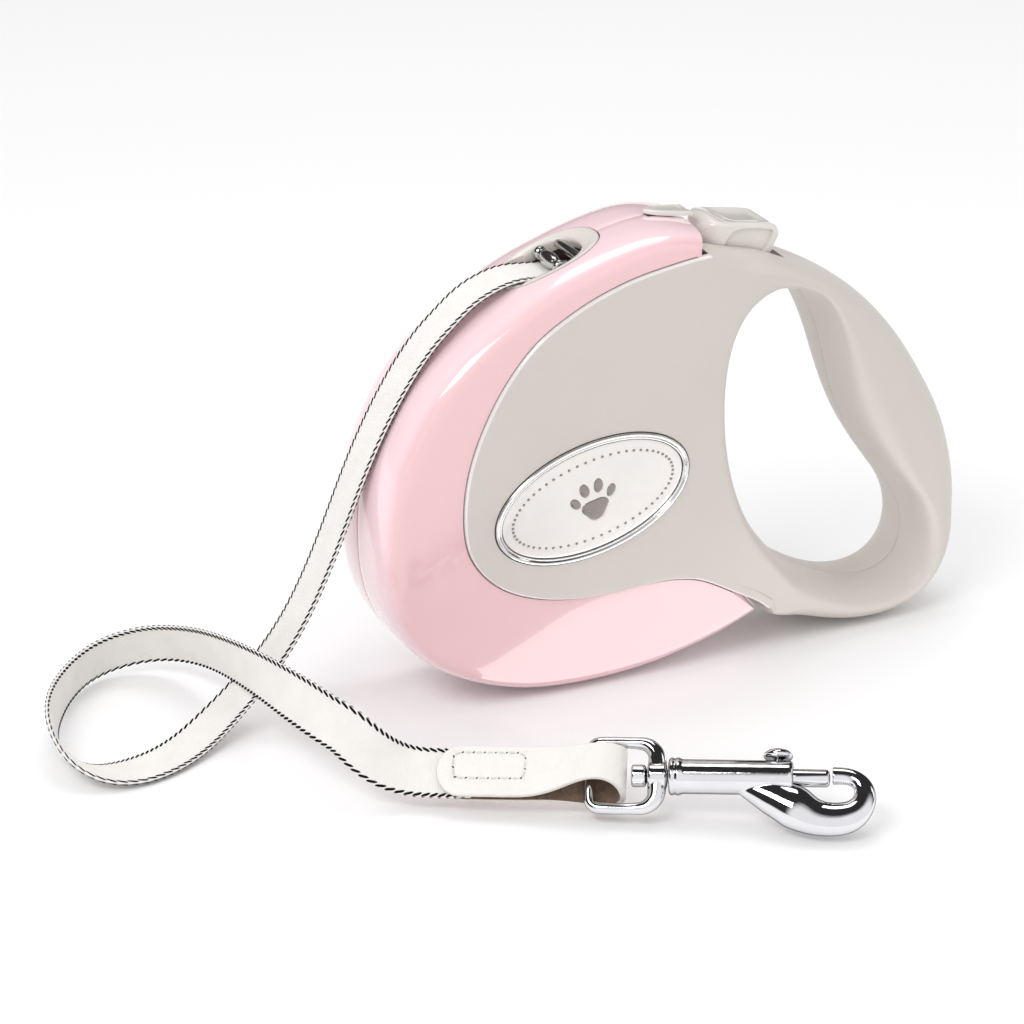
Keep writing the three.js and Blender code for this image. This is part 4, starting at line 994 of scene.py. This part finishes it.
def roller():
    x, z, radius, _, _ = node_cylinder("exit_roller")
    end = [(0.95, -6.3), (1.2, -6.3)]
    end += [(1.0 + 0.75 * math.sin(a), -5.35 - 0.9 * math.cos(a))
            for a in np.linspace(0.2, math.pi - 0.45, 12)]
    end.append((1.15, -4.3))
    barrel = [(max(1.15, radius * math.cos(a) ** 0.6), 3.9 * math.sin(a))
              for a in np.linspace(-1.5, 1.5, 33)]
    profile = end + barrel + [(r, -y) for r, y in end[::-1]]
    ob = make("roller_drum", y_lathe(x, z, profile, 48), [NICKEL], sharp=50)
    ride(ob, "roller_body", "chrome", "exit_roller")


def guide_rod():
    ob = make("guide_rod", y_rod(*node_cylinder("guide_pin"), 0.35), [NICKEL], sharp=50)
    ride(ob, "case", "chrome", "guide_pin")


for side in (-1, 1):
    housing(side)
    cover(side)
    for badge_part in (badge_rim, badge_face, badge_motif):
        badge_part(side, "left" if side < 0 else "right")
bezel()
screws()
roller()
guide_rod()


# ---------------------------------------------------------------- thumb key and lock key
KEY_HALF = 6.9
# Top of the thumb key in the mid-plane, columns x, z
KEY_TOP = [
    (48.8, 110.6), (49.3, 112), (50.3, 113), (51.8, 113.55), (54, 113.4), (57.5, 112.85),
    (61, 112.3), (64.5, 111.7), (67.3, 111), (68.6, 110.3), (69.2, 109.3), (69.4, 108.2)]
# Outline of the shallow recess in each flank
KEY_RECESS = [
    (52.4, 103.6), (53.9, 107.2), (55.1, 109.5), (56.8, 110.8), (59.6, 111.1), (66.2, 110),
    (67.4, 109.4), (67.2, 108.2), (65.2, 104.4), (64.6, 103.4)]
# Half outline of the lock key from its tip: along, across
LOCK_HALF = [(0.1, 0), (0.9, 1), (2.2, 1.95), (4.4, 2.75), (7.4, 3.2), (12.3, 3.3)]
# Lock key section: share of the outline, height
LOCK_SECTION = [(1, 0.02), (1, 0.62), (0.985, 0.78), (0.95, 0.92), (0.8, 1.04), (0.7, 1.06),
                (0.66, 0.98), (0.55, 0.92)]


def key_section(x, top):
    """Ring of the thumb key at x: dished top, rounded shoulders and leaning flanks."""
    if x < 54.25:
        half = KEY_HALF * (1 - (1 - (x - 48.75) / 5.5) ** 2.3) ** (1 / 2.3)
    else:
        half = KEY_HALF - 0.8 * (max(0, x - 67.9) / 1.5) ** 2
    half = max(half, 1.2)
    bottom = 103.6 - 1.6 * smooth_step((x - 49) / 14)
    dish = 0.8 * float(smooth_step((x - 52.4) / 6.5) * smooth_step((68.4 - x) / 2.8))
    dome = 0.75 * math.exp(-((x - 52.0) / 2.4) ** 2)
    radius = min(1.0, 0.4 * half)
    lean = 0.5 * float(smooth_step((x - 60) / 9))
    ring = []
    for share in np.linspace(-1, 1, 37):
        y = share * (half - radius)
        hollow = dish * max(0.0, 1 - (abs(y) / 5.9) ** 3)
        ring.append((x, y, top - hollow + dome * (1 - share * share)))
    shoulder = [(x, half - radius + radius * math.sin(a), top - radius + radius * math.cos(a))
                for a in np.linspace(0.2, math.pi / 2, 8)]
    flank = [(x - lean * max(0.0, top - 0.8 - z), half, z)
             for z in np.linspace(top - radius - 0.4, bottom, 12)]
    right = shoulder + flank
    return ring + right + [(px, -py, pz) for px, py, pz in right[::-1]]


def thumb_key():
    xs = np.concatenate([48.85 + 5.4 * (1 - np.cos(np.linspace(0.1, math.pi / 2, 22))),
                         np.linspace(54.7, 67.9, 40),
                         69.35 - 1.4 * (1 - np.sin(np.linspace(0.05, math.pi / 2 - 0.1, 12)))])
    top = resample(KEY_TOP, 200)
    rings = [key_section(x, float(np.interp(x, top[:, 0], top[:, 1]))) for x in xs]
    ob = make("thumb_key", loft(rings, "cap"), [KEY], sharp=45)
    outline = resample(KEY_RECESS, 70)
    centre = outline.mean(0)
    small = centre + (outline - centre) * 0.975
    cuts = [loft([on_side(outline, side, 8), on_side(outline, side, 6.5),
                  on_side(small, side, 6.15)], "cap") for side in (-1, 1)]
    boolean(ob, cuts, sharp=38)
    ride(ob, "brake", "button_plastic", "thumb_button")


def lock_key():
    slope = 0.12
    length = math.hypot(1, slope)
    along = np.array([1 / length, 0, -slope / length])
    up = np.array([slope / length, 0, 1 / length])
    origin = np.array([35, 0, 116.6])
    half = resample(LOCK_HALF, 30)
    outline = np.vstack([half, half[::-1] * [1, -1]])[:-1]
    middle = np.array([7.2, 0])
    rings = []
    for share, height in LOCK_SECTION:
        p = middle + (outline - middle) * share
        rings.append(origin + p[:, :1] * along + p[:, 1:] * EY + height * up)
    ob = make("lock_key", loft(rings, "cap"), [KEY], sharp=60)
    low = node_box("lock_slider")[0]
    stem = prism(rectangle(39.2, 42.2, low[2] + 0.1, 116.3), -1.4, 1.4)
    boolean(ob, [stem], "UNION", sharp=50)
    ride(ob, "lock", "button_plastic", "lock_slider")


thumb_key()
lock_key()


# ---------------------------------------------------------------- tape
TAPE_WIDTH = 12.0
LEAD = 5                                    # straight stations inside the case, before station 0
TAPE_END = 61.4                             # last station, inside the leather tab
RIB_PITCH = 0.62
STITCH_PITCH, STITCH_LENGTH = 1.84, 2.05

lead = np.array([TAPE_CENTRE[0]]) + np.linspace(28, 6, LEAD)[:, None] * (0.99504, 0, -0.0995)
tape_centre = np.vstack([lead, TAPE_CENTRE])
tape_across = np.vstack([np.tile([0, 1, 0], (LEAD, 1)), TAPE_ACROSS])
tape_length = arc_length(tape_centre)


def tape_frame(s):
    """Centre, width direction and normal at distances s from the tape's inner end."""
    step = 0.15
    centre = spline(tape_length, tape_centre, s, False)
    ahead = spline(tape_length, tape_centre, np.minimum(s + step, tape_length[-1]), False)
    behind = spline(tape_length, tape_centre, np.maximum(s - step, 0), False)
    along = unit(ahead - behind)
    across = spline(tape_length, tape_across, s, False)
    across = unit(across - (across * along).sum(1)[:, None] * along)
    return centre, across, np.cross(along, across)


def distance(station):
    return float(np.interp(station, np.arange(len(tape_centre)) - float(LEAD), tape_length))


def tape_point(station):
    centre = tape_frame(np.array([distance(station)]))[0][0]
    return tuple(float(x) for x in centre * MM + OFFSET)


def tape_band(s):
    """Ribbed band and its UVs (distance along, place across)."""
    centre, across, normal = tape_frame(s)
    half = TAPE_WIDTH / 2 - 0.05
    # Half section: place across, half thickness
    section = [(-half, 0), (-half + 0.1, 0.2), (-half + 0.3, 0.33), (-5.1, 0.37), (-4.85, 0.31),
               (-4.0, 0.32), (-2, 0.33)]
    section = np.array(section + [(0, 0.34)] + [(-x, h) for x, h in section[::-1]])
    x, thick = section.T
    ribbed = np.abs(x) < 4.95
    wave = np.cos(2 * math.pi * s / RIB_PITCH)[:, None] * 0.045 * ribbed[None]
    top = thick[None] + wave
    bottom = -(thick[None] - wave * 0.9)
    x = np.concatenate([x, x[-2:0:-1]])
    height = np.concatenate([top, bottom[:, -2:0:-1]], 1)
    rings = centre[:, None] + x[None, :, None] * across[:, None]
    rings = rings + height[..., None] * normal[:, None]
    return loft(rings, "cap"), [(a, b) for a in s for b in x]


def tape_stitch(start, edge, face):
    """One dark thread lying aslant on an edge of the band."""
    u = np.linspace(0, 1, 6)
    centre, across, normal = tape_frame(start + u * STITCH_LENGTH)
    x = edge * (5.86 - 0.8 * u)
    angle = np.arange(7) / 7 * 2 * math.pi
    full = (np.sqrt(np.clip(1 - (2 * u - 1) ** 4, 0, 1)) * 0.85 + 0.15)[:, None]
    aside = x[:, None] + 0.34 * full * np.cos(angle)
    height = face * 0.365 + 0.13 * full * np.sin(angle)
    rings = centre[:, None] + aside[..., None] * across[:, None]
    rings = rings + height[..., None] * normal[:, None]
    return loft(rings, "cap"), [(start, place) for place in np.repeat(x, 7)]


def tape(name, first, last):
    count = int((distance(last) - distance(first)) / 0.155) + 1
    s = np.linspace(distance(first), distance(last), count)
    band, uvs = tape_band(s)
    parts = [band]
    limit = distance(TAPE_END) - 0.1
    for edge in (-1, 1):
        for face in (-1, 1):
            for k in range(int(s[0] / STITCH_PITCH) - 1, int(s[-1] / STITCH_PITCH) + 2):
                start = k * STITCH_PITCH + (0.9 if edge > 0 else 0.0)
                if s[0] <= start < s[-1] and start + STITCH_LENGTH <= limit:
                    stitch, stitch_uvs = tape_stitch(start, edge, face)
                    parts.append(stitch)
                    uvs += stitch_uvs
    shape = merge(parts)
    slots = [0] * len(band[1]) + [1] * (len(shape[1]) - len(band[1]))
    ob = make_plain(name, shape, [TAPE, DARK_THREAD], slots, sharp=50, uvs=uvs)
    return ob


# Name, first and last station, the two bodies it runs between and the stations where it passes from
# one to the other, nodes replaced
TAPES = [
    ("tape_from_spool", -4.99, 8.0, "tape_lead_body", "tape_upper_body", -0.3, 1.6,
     ["tape_lead"]),
    ("tape_hanging", 8.0, 37.0, "tape_upper_body", "tape_loop_body", 14.5, 20.5,
     ["tape_upper", "tape_loop"]),
    ("tape_returning", 37.0, TAPE_END, "tape_loop_body", "tab", 54.3, 58.4, ["tape_tail"])]
for name, first, last, body, next_body, blend_from, blend_to, nodes in TAPES:
    ob = tape(name, first, last)
    tape_point(blend_from)
    tape_point(blend_to)
    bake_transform(ob)
    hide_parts(*nodes)


# ---------------------------------------------------------------- leather tab
LEATHER_HALF = 0.68                         # half thickness
SEAM_S, SEAM_T = (4.2, 21.0), (-1.8, 4.4)   # the seam's extent along and across
# Middle of the leather: out along the upper leaf, round the fold, back below; columns s, n
FOLD = [
    (0.5, 1.7), (6, 1.72), (14, 1.78), (22, 1.9), (28, 2.6), (33, 3.7), (37.5, 4.5), (40.6, 4.2),
    (42.9, 2.6), (43.75, 0), (42.9, -2.5), (40.6, -3.75), (37.5, -3.8), (33, -3.05),
    (28, -2.25), (22, -1.85), (14, -1.78), (6, -1.75), (1.2, -1.75)]
# Waist cut into the -t edge of the upper leaf: s, depth
WAIST = [(21, 0), (24, 0.3), (27, 1.0), (29.5, 1.9), (33.8, 3.6), (36.5, 4.15), (39, 4.2),
         (41, 3.7), (42.6, 2.5), (43.6, 1.4), (44.2, 0.6)]


def seam_dent(s, x):
    """Depth to which the stitching pulls the leather in."""
    dent = np.zeros(len(x))
    beyond = max(SEAM_S[0] - s, s - SEAM_S[1], 0)
    for t in SEAM_T:
        dent += 0.16 * np.exp(-((x - t) / 0.55) ** 2) * math.exp(-(beyond / 0.6) ** 2)
    within = (x > SEAM_T[0] - 0.4) & (x < SEAM_T[1] + 0.4)
    for end in SEAM_S:
        dent += 0.16 * math.exp(-((s - end) / 0.55) ** 2) * within
    return dent


def leather_fold():
    path = resample(FOLD, 260)
    length = arc_length(path)
    total = length[-1]
    # Finer rows where the two ends round off
    u = np.concatenate([6 * (1 - np.cos(np.linspace(0.03, math.pi / 2, 26))),
                        np.linspace(6.4, total - 6.4, 210),
                        total - 6 * (1 - np.cos(np.linspace(math.pi / 2, 0.03, 26)))])
    path = np.stack([np.interp(u, length, column) for column in path.T], 1)
    along = tangents(path)
    out = np.stack([-along[:, 1], along[:, 0]], 1)
    s = path[:, 0]
    from_end = np.minimum(u, total - u)
    bow = np.clip(1 - from_end / 6.0, 0, 1) ** 2.3
    half = np.maximum(6.15 * np.sqrt(np.clip(1 - bow, 0, 1)), 0.4)
    half = half + 0.35 * np.exp(-((s - 40) / 5) ** 2) - 0.18 * np.exp(-((s - 27) / 6) ** 2)
    upper = np.arange(len(u)) < np.argmax(s)
    waist = np.where(upper, np.interp(s, *np.array(WAIST).T),
                     0.55 * np.exp(-((s - 43.7) / 2.5) ** 2))
    waist = np.convolve(np.pad(waist, 6, mode="edge"), np.ones(13) / 13, "valid")

    across, h = 27, LEATHER_HALF
    rings = []
    for i in range(len(u)):
        narrow = half[i] - waist[i]
        share = np.linspace(0, 1, across)
        x = -(narrow - 0.28) + share * (half[i] + narrow - 0.56)
        dent = seam_dent(s[i], x) if upper[i] else np.zeros(across)
        lump = (0.10 * np.sin(0.55 * s[i] + 0.5 * x) * smooth_step((s[i] - 20) / 8)
                + 0.06 * np.sin(1.3 * s[i] - 0.8 * x + 1) * smooth_step((s[i] - 24) / 6))
        top = np.stack([x, h - dent + lump * 0.5], 1)
        bottom = np.stack([x[::-1], -h + lump[::-1] * 0.5], 1)
        edge = np.array([(half[i] - 0.12, h * 0.82), (half[i] - 0.02, h * 0.4), (half[i], 0),
                         (half[i] - 0.02, -h * 0.4), (half[i] - 0.12, -h * 0.82)])
        t, off = np.vstack([top, edge, bottom, edge[::-1] * (-1, 1) + (waist[i], 0)]).T
        rings.append(at_tab(s[i] + out[i, 0] * off, t, path[i, 1] + out[i, 1] * off))

    # Slots round one ring: outer face, edge, flesh side, edge; then the two end caps
    ring_slots = [0] * (across - 1) + [2] * 5 + [1] * across + [2] * 6
    slots = ring_slots * (len(rings) - 1) + [2, 2]
    ob = make_plain("leather_fold", loft(rings, "cap"), [LEATHER, FLESH, LEATHER_EDGE], slots,
                    sharp=60)
    ride(ob, "tab", "leather", "leather_tab")


def seam(name, face):
    """Threads and needle holes round a rounded rectangle, on one outer face of the tab; the holes
    are dark marks of painted shade.
    """
    stitches, steps, radius = 17, 12, 1.3
    (s0, s1), (t0, t1) = SEAM_S, SEAM_T
    corners = [(s1 - radius, t1 - radius), (s0 + radius, t1 - radius),
               (s0 + radius, t0 + radius), (s1 - radius, t0 + radius)]
    loop = []
    for k, (s, t) in enumerate(corners):
        for angle in (0, 30, 60, 90):
            a = math.radians(90 * k + angle)
            loop.append((s + radius * math.cos(a), t + radius * math.sin(a)))
    count = stitches * steps
    ring = space_evenly(np.array(loop), count, True)

    def on_face(point, sink=0.0):
        level = 1.75 + LEATHER_HALF - 0.12 + 0.1 * float(smooth_step((point[0] - 14) / 10))
        return at_tab(point[0], point[1], face * (level - sink))

    threads, holes = [], []
    for k in range(0, count, steps):
        start, end = on_face(ring[(k + 2) % count]), on_face(ring[(k + 10) % count])
        threads.append(capsule(start, end, TAB_UP * face, 0.27, 0.2))
        centre = on_face(ring[k], 0.06)
        ds, dt = unit(ring[(k + 1) % count] - ring[k - 1])
        along = ds * TAB_ALONG + dt * TAB_ACROSS
        slant = unit(along + 0.9 * np.cross(TAB_UP, along)) * 0.42
        holes.append(capsule(centre - slant, centre + slant, TAB_UP * face, 0.2, 0.12))
    shape = merge(threads + holes)
    each = len(shape[1]) // 2
    ob = make_plain(name, shape, [SEAM_THREAD, NEEDLE_HOLE_SHADE], [0] * each + [1] * each, sharp=60,
                    recalculate=False)
    ride(ob, "tab", "leather")


leather_fold()
seam("tab_seam_front", 1)
seam("tab_seam_back", -1)


# ---------------------------------------------------------------- swivel, snap and bolt
# Corners of the swivel loop: centre s and t, radius, angles from and to, points, wire radii
SWIVEL_CORNERS = [
    (38.2, 5.65, 2.2, 180, 90, 10, 1.35, 1.4), (47.3, 3.75, 4.1, 88, 2, 16, 1.45, 2.1),
    (47.3, -3.75, 4.1, -2, -88, 16, 2.1, 1.45), (38.2, -5.65, 2.2, -90, -180, 10, 1.4, 1.35)]
# Hook of the snap: s, t, wire radius
HOOK = [
    (68.6, -0.5, 1.7), (70.3, -1.1, 2.2), (72.2, -1.9, 2.9), (74.9, -3, 3.7), (77.6, -4.2, 4.35),
    (80.2, -5.5, 4.7), (82.8, -6.8, 5.1), (86.55, -8.8, 4.5), (91.35, -9.75, 3.95),
    (95.7, -9, 3.65), (98.7, -6, 2.85), (99.1, -3, 2.4), (98, -0.9, 2.05), (95.7, 0.4, 1.95),
    (93.6, 0.65, 2), (92.3, 0.65, 2.05), (91.75, 0.65, 2.05)]
# Profiles: radius, distance along the axis
SWIVEL_BOSS = [(0, 49.25), (2.5, 49.25), (2.85, 49.45), (3.05, 49.9), (3.05, 53.1),
               (2.85, 53.5), (2.5, 53.72), (0, 53.72)]
SWIVEL_BORE = [(0, 47), (1.8, 47), (1.8, 56), (0, 56)]
SNAP_BARREL = [
    (0, 45.5), (2.0, 45.5), (2.4, 45.62), (2.6, 45.95), (2.6, 48.4), (2.4, 48.75), (2.0, 48.9),
    (1.6, 48.95), (1.5, 49.3), (1.5, 53.95), (1.8, 54.1), (3.7, 54.15), (4.2, 54.4),
    (4.4, 54.9), (4.2, 55.4), (4.0, 55.6), (4.3, 55.85), (4.4, 56.3), (4.3, 56.8),
    (4.08, 57.05), (4.0, 57.4), (4.0, 81.8), (3.85, 82.4), (3.45, 82.72), (0, 82.8)]
SNAP_BORE = [(0, 58), (2.4, 58), (2.4, 91.4), (0, 91.4)]
PLUNGER = [(0, 69), (1.8, 69), (2.05, 69.3), (2.05, 90.2), (1.9, 90.7), (1.5, 91.05),
           (0.8, 91.2), (0, 91.2)]
STUD_S = 79.2
STUD = [(0, 2.3), (1.05, 2.3), (1.05, 4.2), (1.6, 4.4), (2.7, 4.45), (3.2, 4.7), (3.4, 5.15),
        (3.25, 5.7), (2.6, 6.25), (1.7, 6.6), (0.8, 6.72), (0, 6.74)]


def swivel():
    points = []
    for s, t, radius, start, end, count, wire_start, wire_end in SWIVEL_CORNERS:
        for i in range(count):
            a = math.radians(start + (end - start) * i / (count - 1))
            points.append((s + radius * math.cos(a), t + radius * math.sin(a),
                           wire_start + (wire_end - wire_start) * i / (count - 1)))
    path = resample(points, 240, closed=True, fair=14)
    ob = make("swivel_loop", wire(*path.T, seg=28, closed=True), [CHROME])
    boolean(ob, [tab_lathe(SWIVEL_BOSS, 48)], "UNION")
    boolean(ob, [tab_lathe(SWIVEL_BORE, 40)])
    soften(ob, turns=6)
    ride(ob, "swivel", "chrome", "swivel_ring")


def snap():
    ob = make("snap_casting", tab_lathe(SNAP_BARREL, 64), [CHROME])
    path = resample(HOOK, 170, fair=18)
    boolean(ob, [wire(*path.T, seg=40, squash=0.76)], "UNION")
    stud_slot = prism(rectangle(69.4, 80.9, 0, 6), -1.35, 1.35,
                      lambda p, n: at_tab(p[0], p[1], n))
    boolean(ob, [tab_lathe(SNAP_BORE, 40), stud_slot])
    soften(ob, turns=7)
    ride(ob, "snap", "chrome", "snap_body")


def bolt():
    ob = make("snap_plunger", tab_lathe(PLUNGER, 40), [CHROME], sharp=50)
    ride(ob, "bolt", "chrome", "snap_bolt")
    shape = lathe(at_tab(STUD_S, 0, 0), TAB_ALONG, TAB_UP, TAB_ACROSS, STUD, 40)
    ob = make("thumb_stud", shape, [CHROME], sharp=50)
    ride(ob, "bolt", "chrome", "bolt_stud")


swivel()
snap()
bolt()


# ---------------------------------------------------------------- floor, light and camera
def floor():
    half, drop = 3.0, 0.0002                # m
    points = [(-half, -half, 0), (half, -half, 0), (half, half, 0), (-half, half, 0)]
    ob = new_object("floor", points, [(0, 1, 2, 3)])
    mat, tree = new_material("m_floor")
    shader = tree.nodes["Principled BSDF"]
    shader.inputs["Roughness"].default_value = 0.9
    shader.inputs["Specular IOR Level"].default_value = 0.1
    cloud = add_node(tree, "TexNoise", {"Scale": 3})
    ramp = add_node(tree, "ValToRGB", {"Fac": cloud.outputs["Fac"]})
    for element, tone in zip(ramp.color_ramp.elements, (0.90, 0.92)):
        element.color = (tone, tone, tone, 1)
    tree.links.new(ramp.outputs["Color"], shader.inputs["Base Color"])
    ob.data.materials.append(mat)
    ob.location.z = -drop


def floor_card():
    """Bright card just over the floor, seen only in reflections."""
    outline = [(-14, -18), (-8, -36), (30, -59), (75, -76), (130, -76), (130, -18)]
    height, power = 0.1, 3.4
    points = in_frame([(x, y, height) for x, y in outline])
    ob = new_object("floor_card", points, [range(len(points))])
    mat, tree = new_material("m_floor_card")
    tree.nodes.remove(tree.nodes["Principled BSDF"])
    emission = add_node(tree, "Emission")
    cloud = add_node(tree, "TexNoise", {"Scale": 4})
    strength = add_node(tree, "MapRange", {"To Min": power * 0.95, "To Max": power * 1.05,
                                           "Value": cloud.outputs["Fac"]})
    tree.links.new(strength.outputs["Result"], emission.inputs["Strength"])
    surface = tree.nodes["Material Output"].inputs["Surface"]
    tree.links.new(emission.outputs["Emission"], surface)
    ob.data.materials.append(mat)
    ob.visible_camera = ob.visible_diffuse = False
    ob.visible_shadow = ob.visible_transmission = False


def place_aimed(name, data, location, direction):
    ob = bpy.data.objects.new(name, data)
    bpy.context.scene.collection.objects.link(ob)
    ob.location = location
    ob.rotation_mode = "QUATERNION"
    ob.rotation_quaternion = direction.to_track_quat("-Z", "Y")
    return ob


def area_light(name, place, size, power):
    """Area light aimed at the leash; place and size in m, power in W."""
    light = bpy.data.lights.new(name, "AREA")
    light.shape = "RECTANGLE"
    light.size, light.size_y = size
    light.energy = power
    light.color = (1, 1, 1)
    target = Vector((0.02, 0.0, 0.05))
    place_aimed(name, light, Vector(place) + Vector(OFFSET), target - Vector(place))


def studio_world():
    """White to the camera, pale as light; dark in reflections except from the front and below."""
    world = bpy.data.worlds.new("studio")
    bpy.context.scene.world = world
    world.use_nodes = True
    tree = world.node_tree
    coords = add_node(tree, "TexCoord")
    split = add_node(tree, "SeparateXYZ", {"Vector": coords.outputs["Generated"]})
    front = smooth_range(tree, split.outputs["Y"], start=-0.36, end=-0.68)
    low = smooth_range(tree, split.outputs["Z"], start=0.13, end=0.03)
    bright = add_node(tree, "Math", {0: front, 1: low}, operation="MAXIMUM")

    def mix(factor, a, b):
        node = add_node(tree, "Mix", {"Factor": factor, "A": a, "B": b}, data_type="RGBA")
        return node.outputs["Result"]

    reflected = mix(bright.outputs["Value"], (0.03, 0.029, 0.03, 1), (0.92, 0.92, 0.93, 1))
    rays = add_node(tree, "LightPath").outputs
    colour = mix(rays["Is Glossy Ray"], (0.86, 0.86, 0.87, 1), reflected)
    colour = mix(rays["Is Camera Ray"], colour, (1.0, 1.0, 1.0, 1))
    background = tree.nodes["Background"]
    tree.links.new(colour, background.inputs["Color"])
    background.inputs["Strength"].default_value = 1.0


def camera():
    data = bpy.data.cameras.new("camera")
    data.lens, data.sensor_width = 126.5625, 36
    data.clip_start, data.clip_end = 0.01, 20
    location = Vector((-0.340048, -0.730417, 0.403117)) + Vector(OFFSET)
    target = Vector((0.007425, 0.014741, 0.037054)) + Vector(OFFSET)
    scene = bpy.context.scene
    scene.camera = place_aimed("camera", data, location, target - location)
    view = scene.view_settings
    view.view_transform, view.look = "Standard", "None"
    view.exposure, view.gamma = 0.0, 1.0


floor()
floor_card()
area_light("key", place=(-0.55, -0.35, 0.75), size=(0.5, 0.3), power=2.6)
area_light("top", place=(0.15, 0.25, 0.9), size=(0.5, 0.35), power=1.3)
area_light("side", place=(0.75, -0.25, 0.35), size=(0.2, 0.45), power=0.35)
studio_world()
camera()
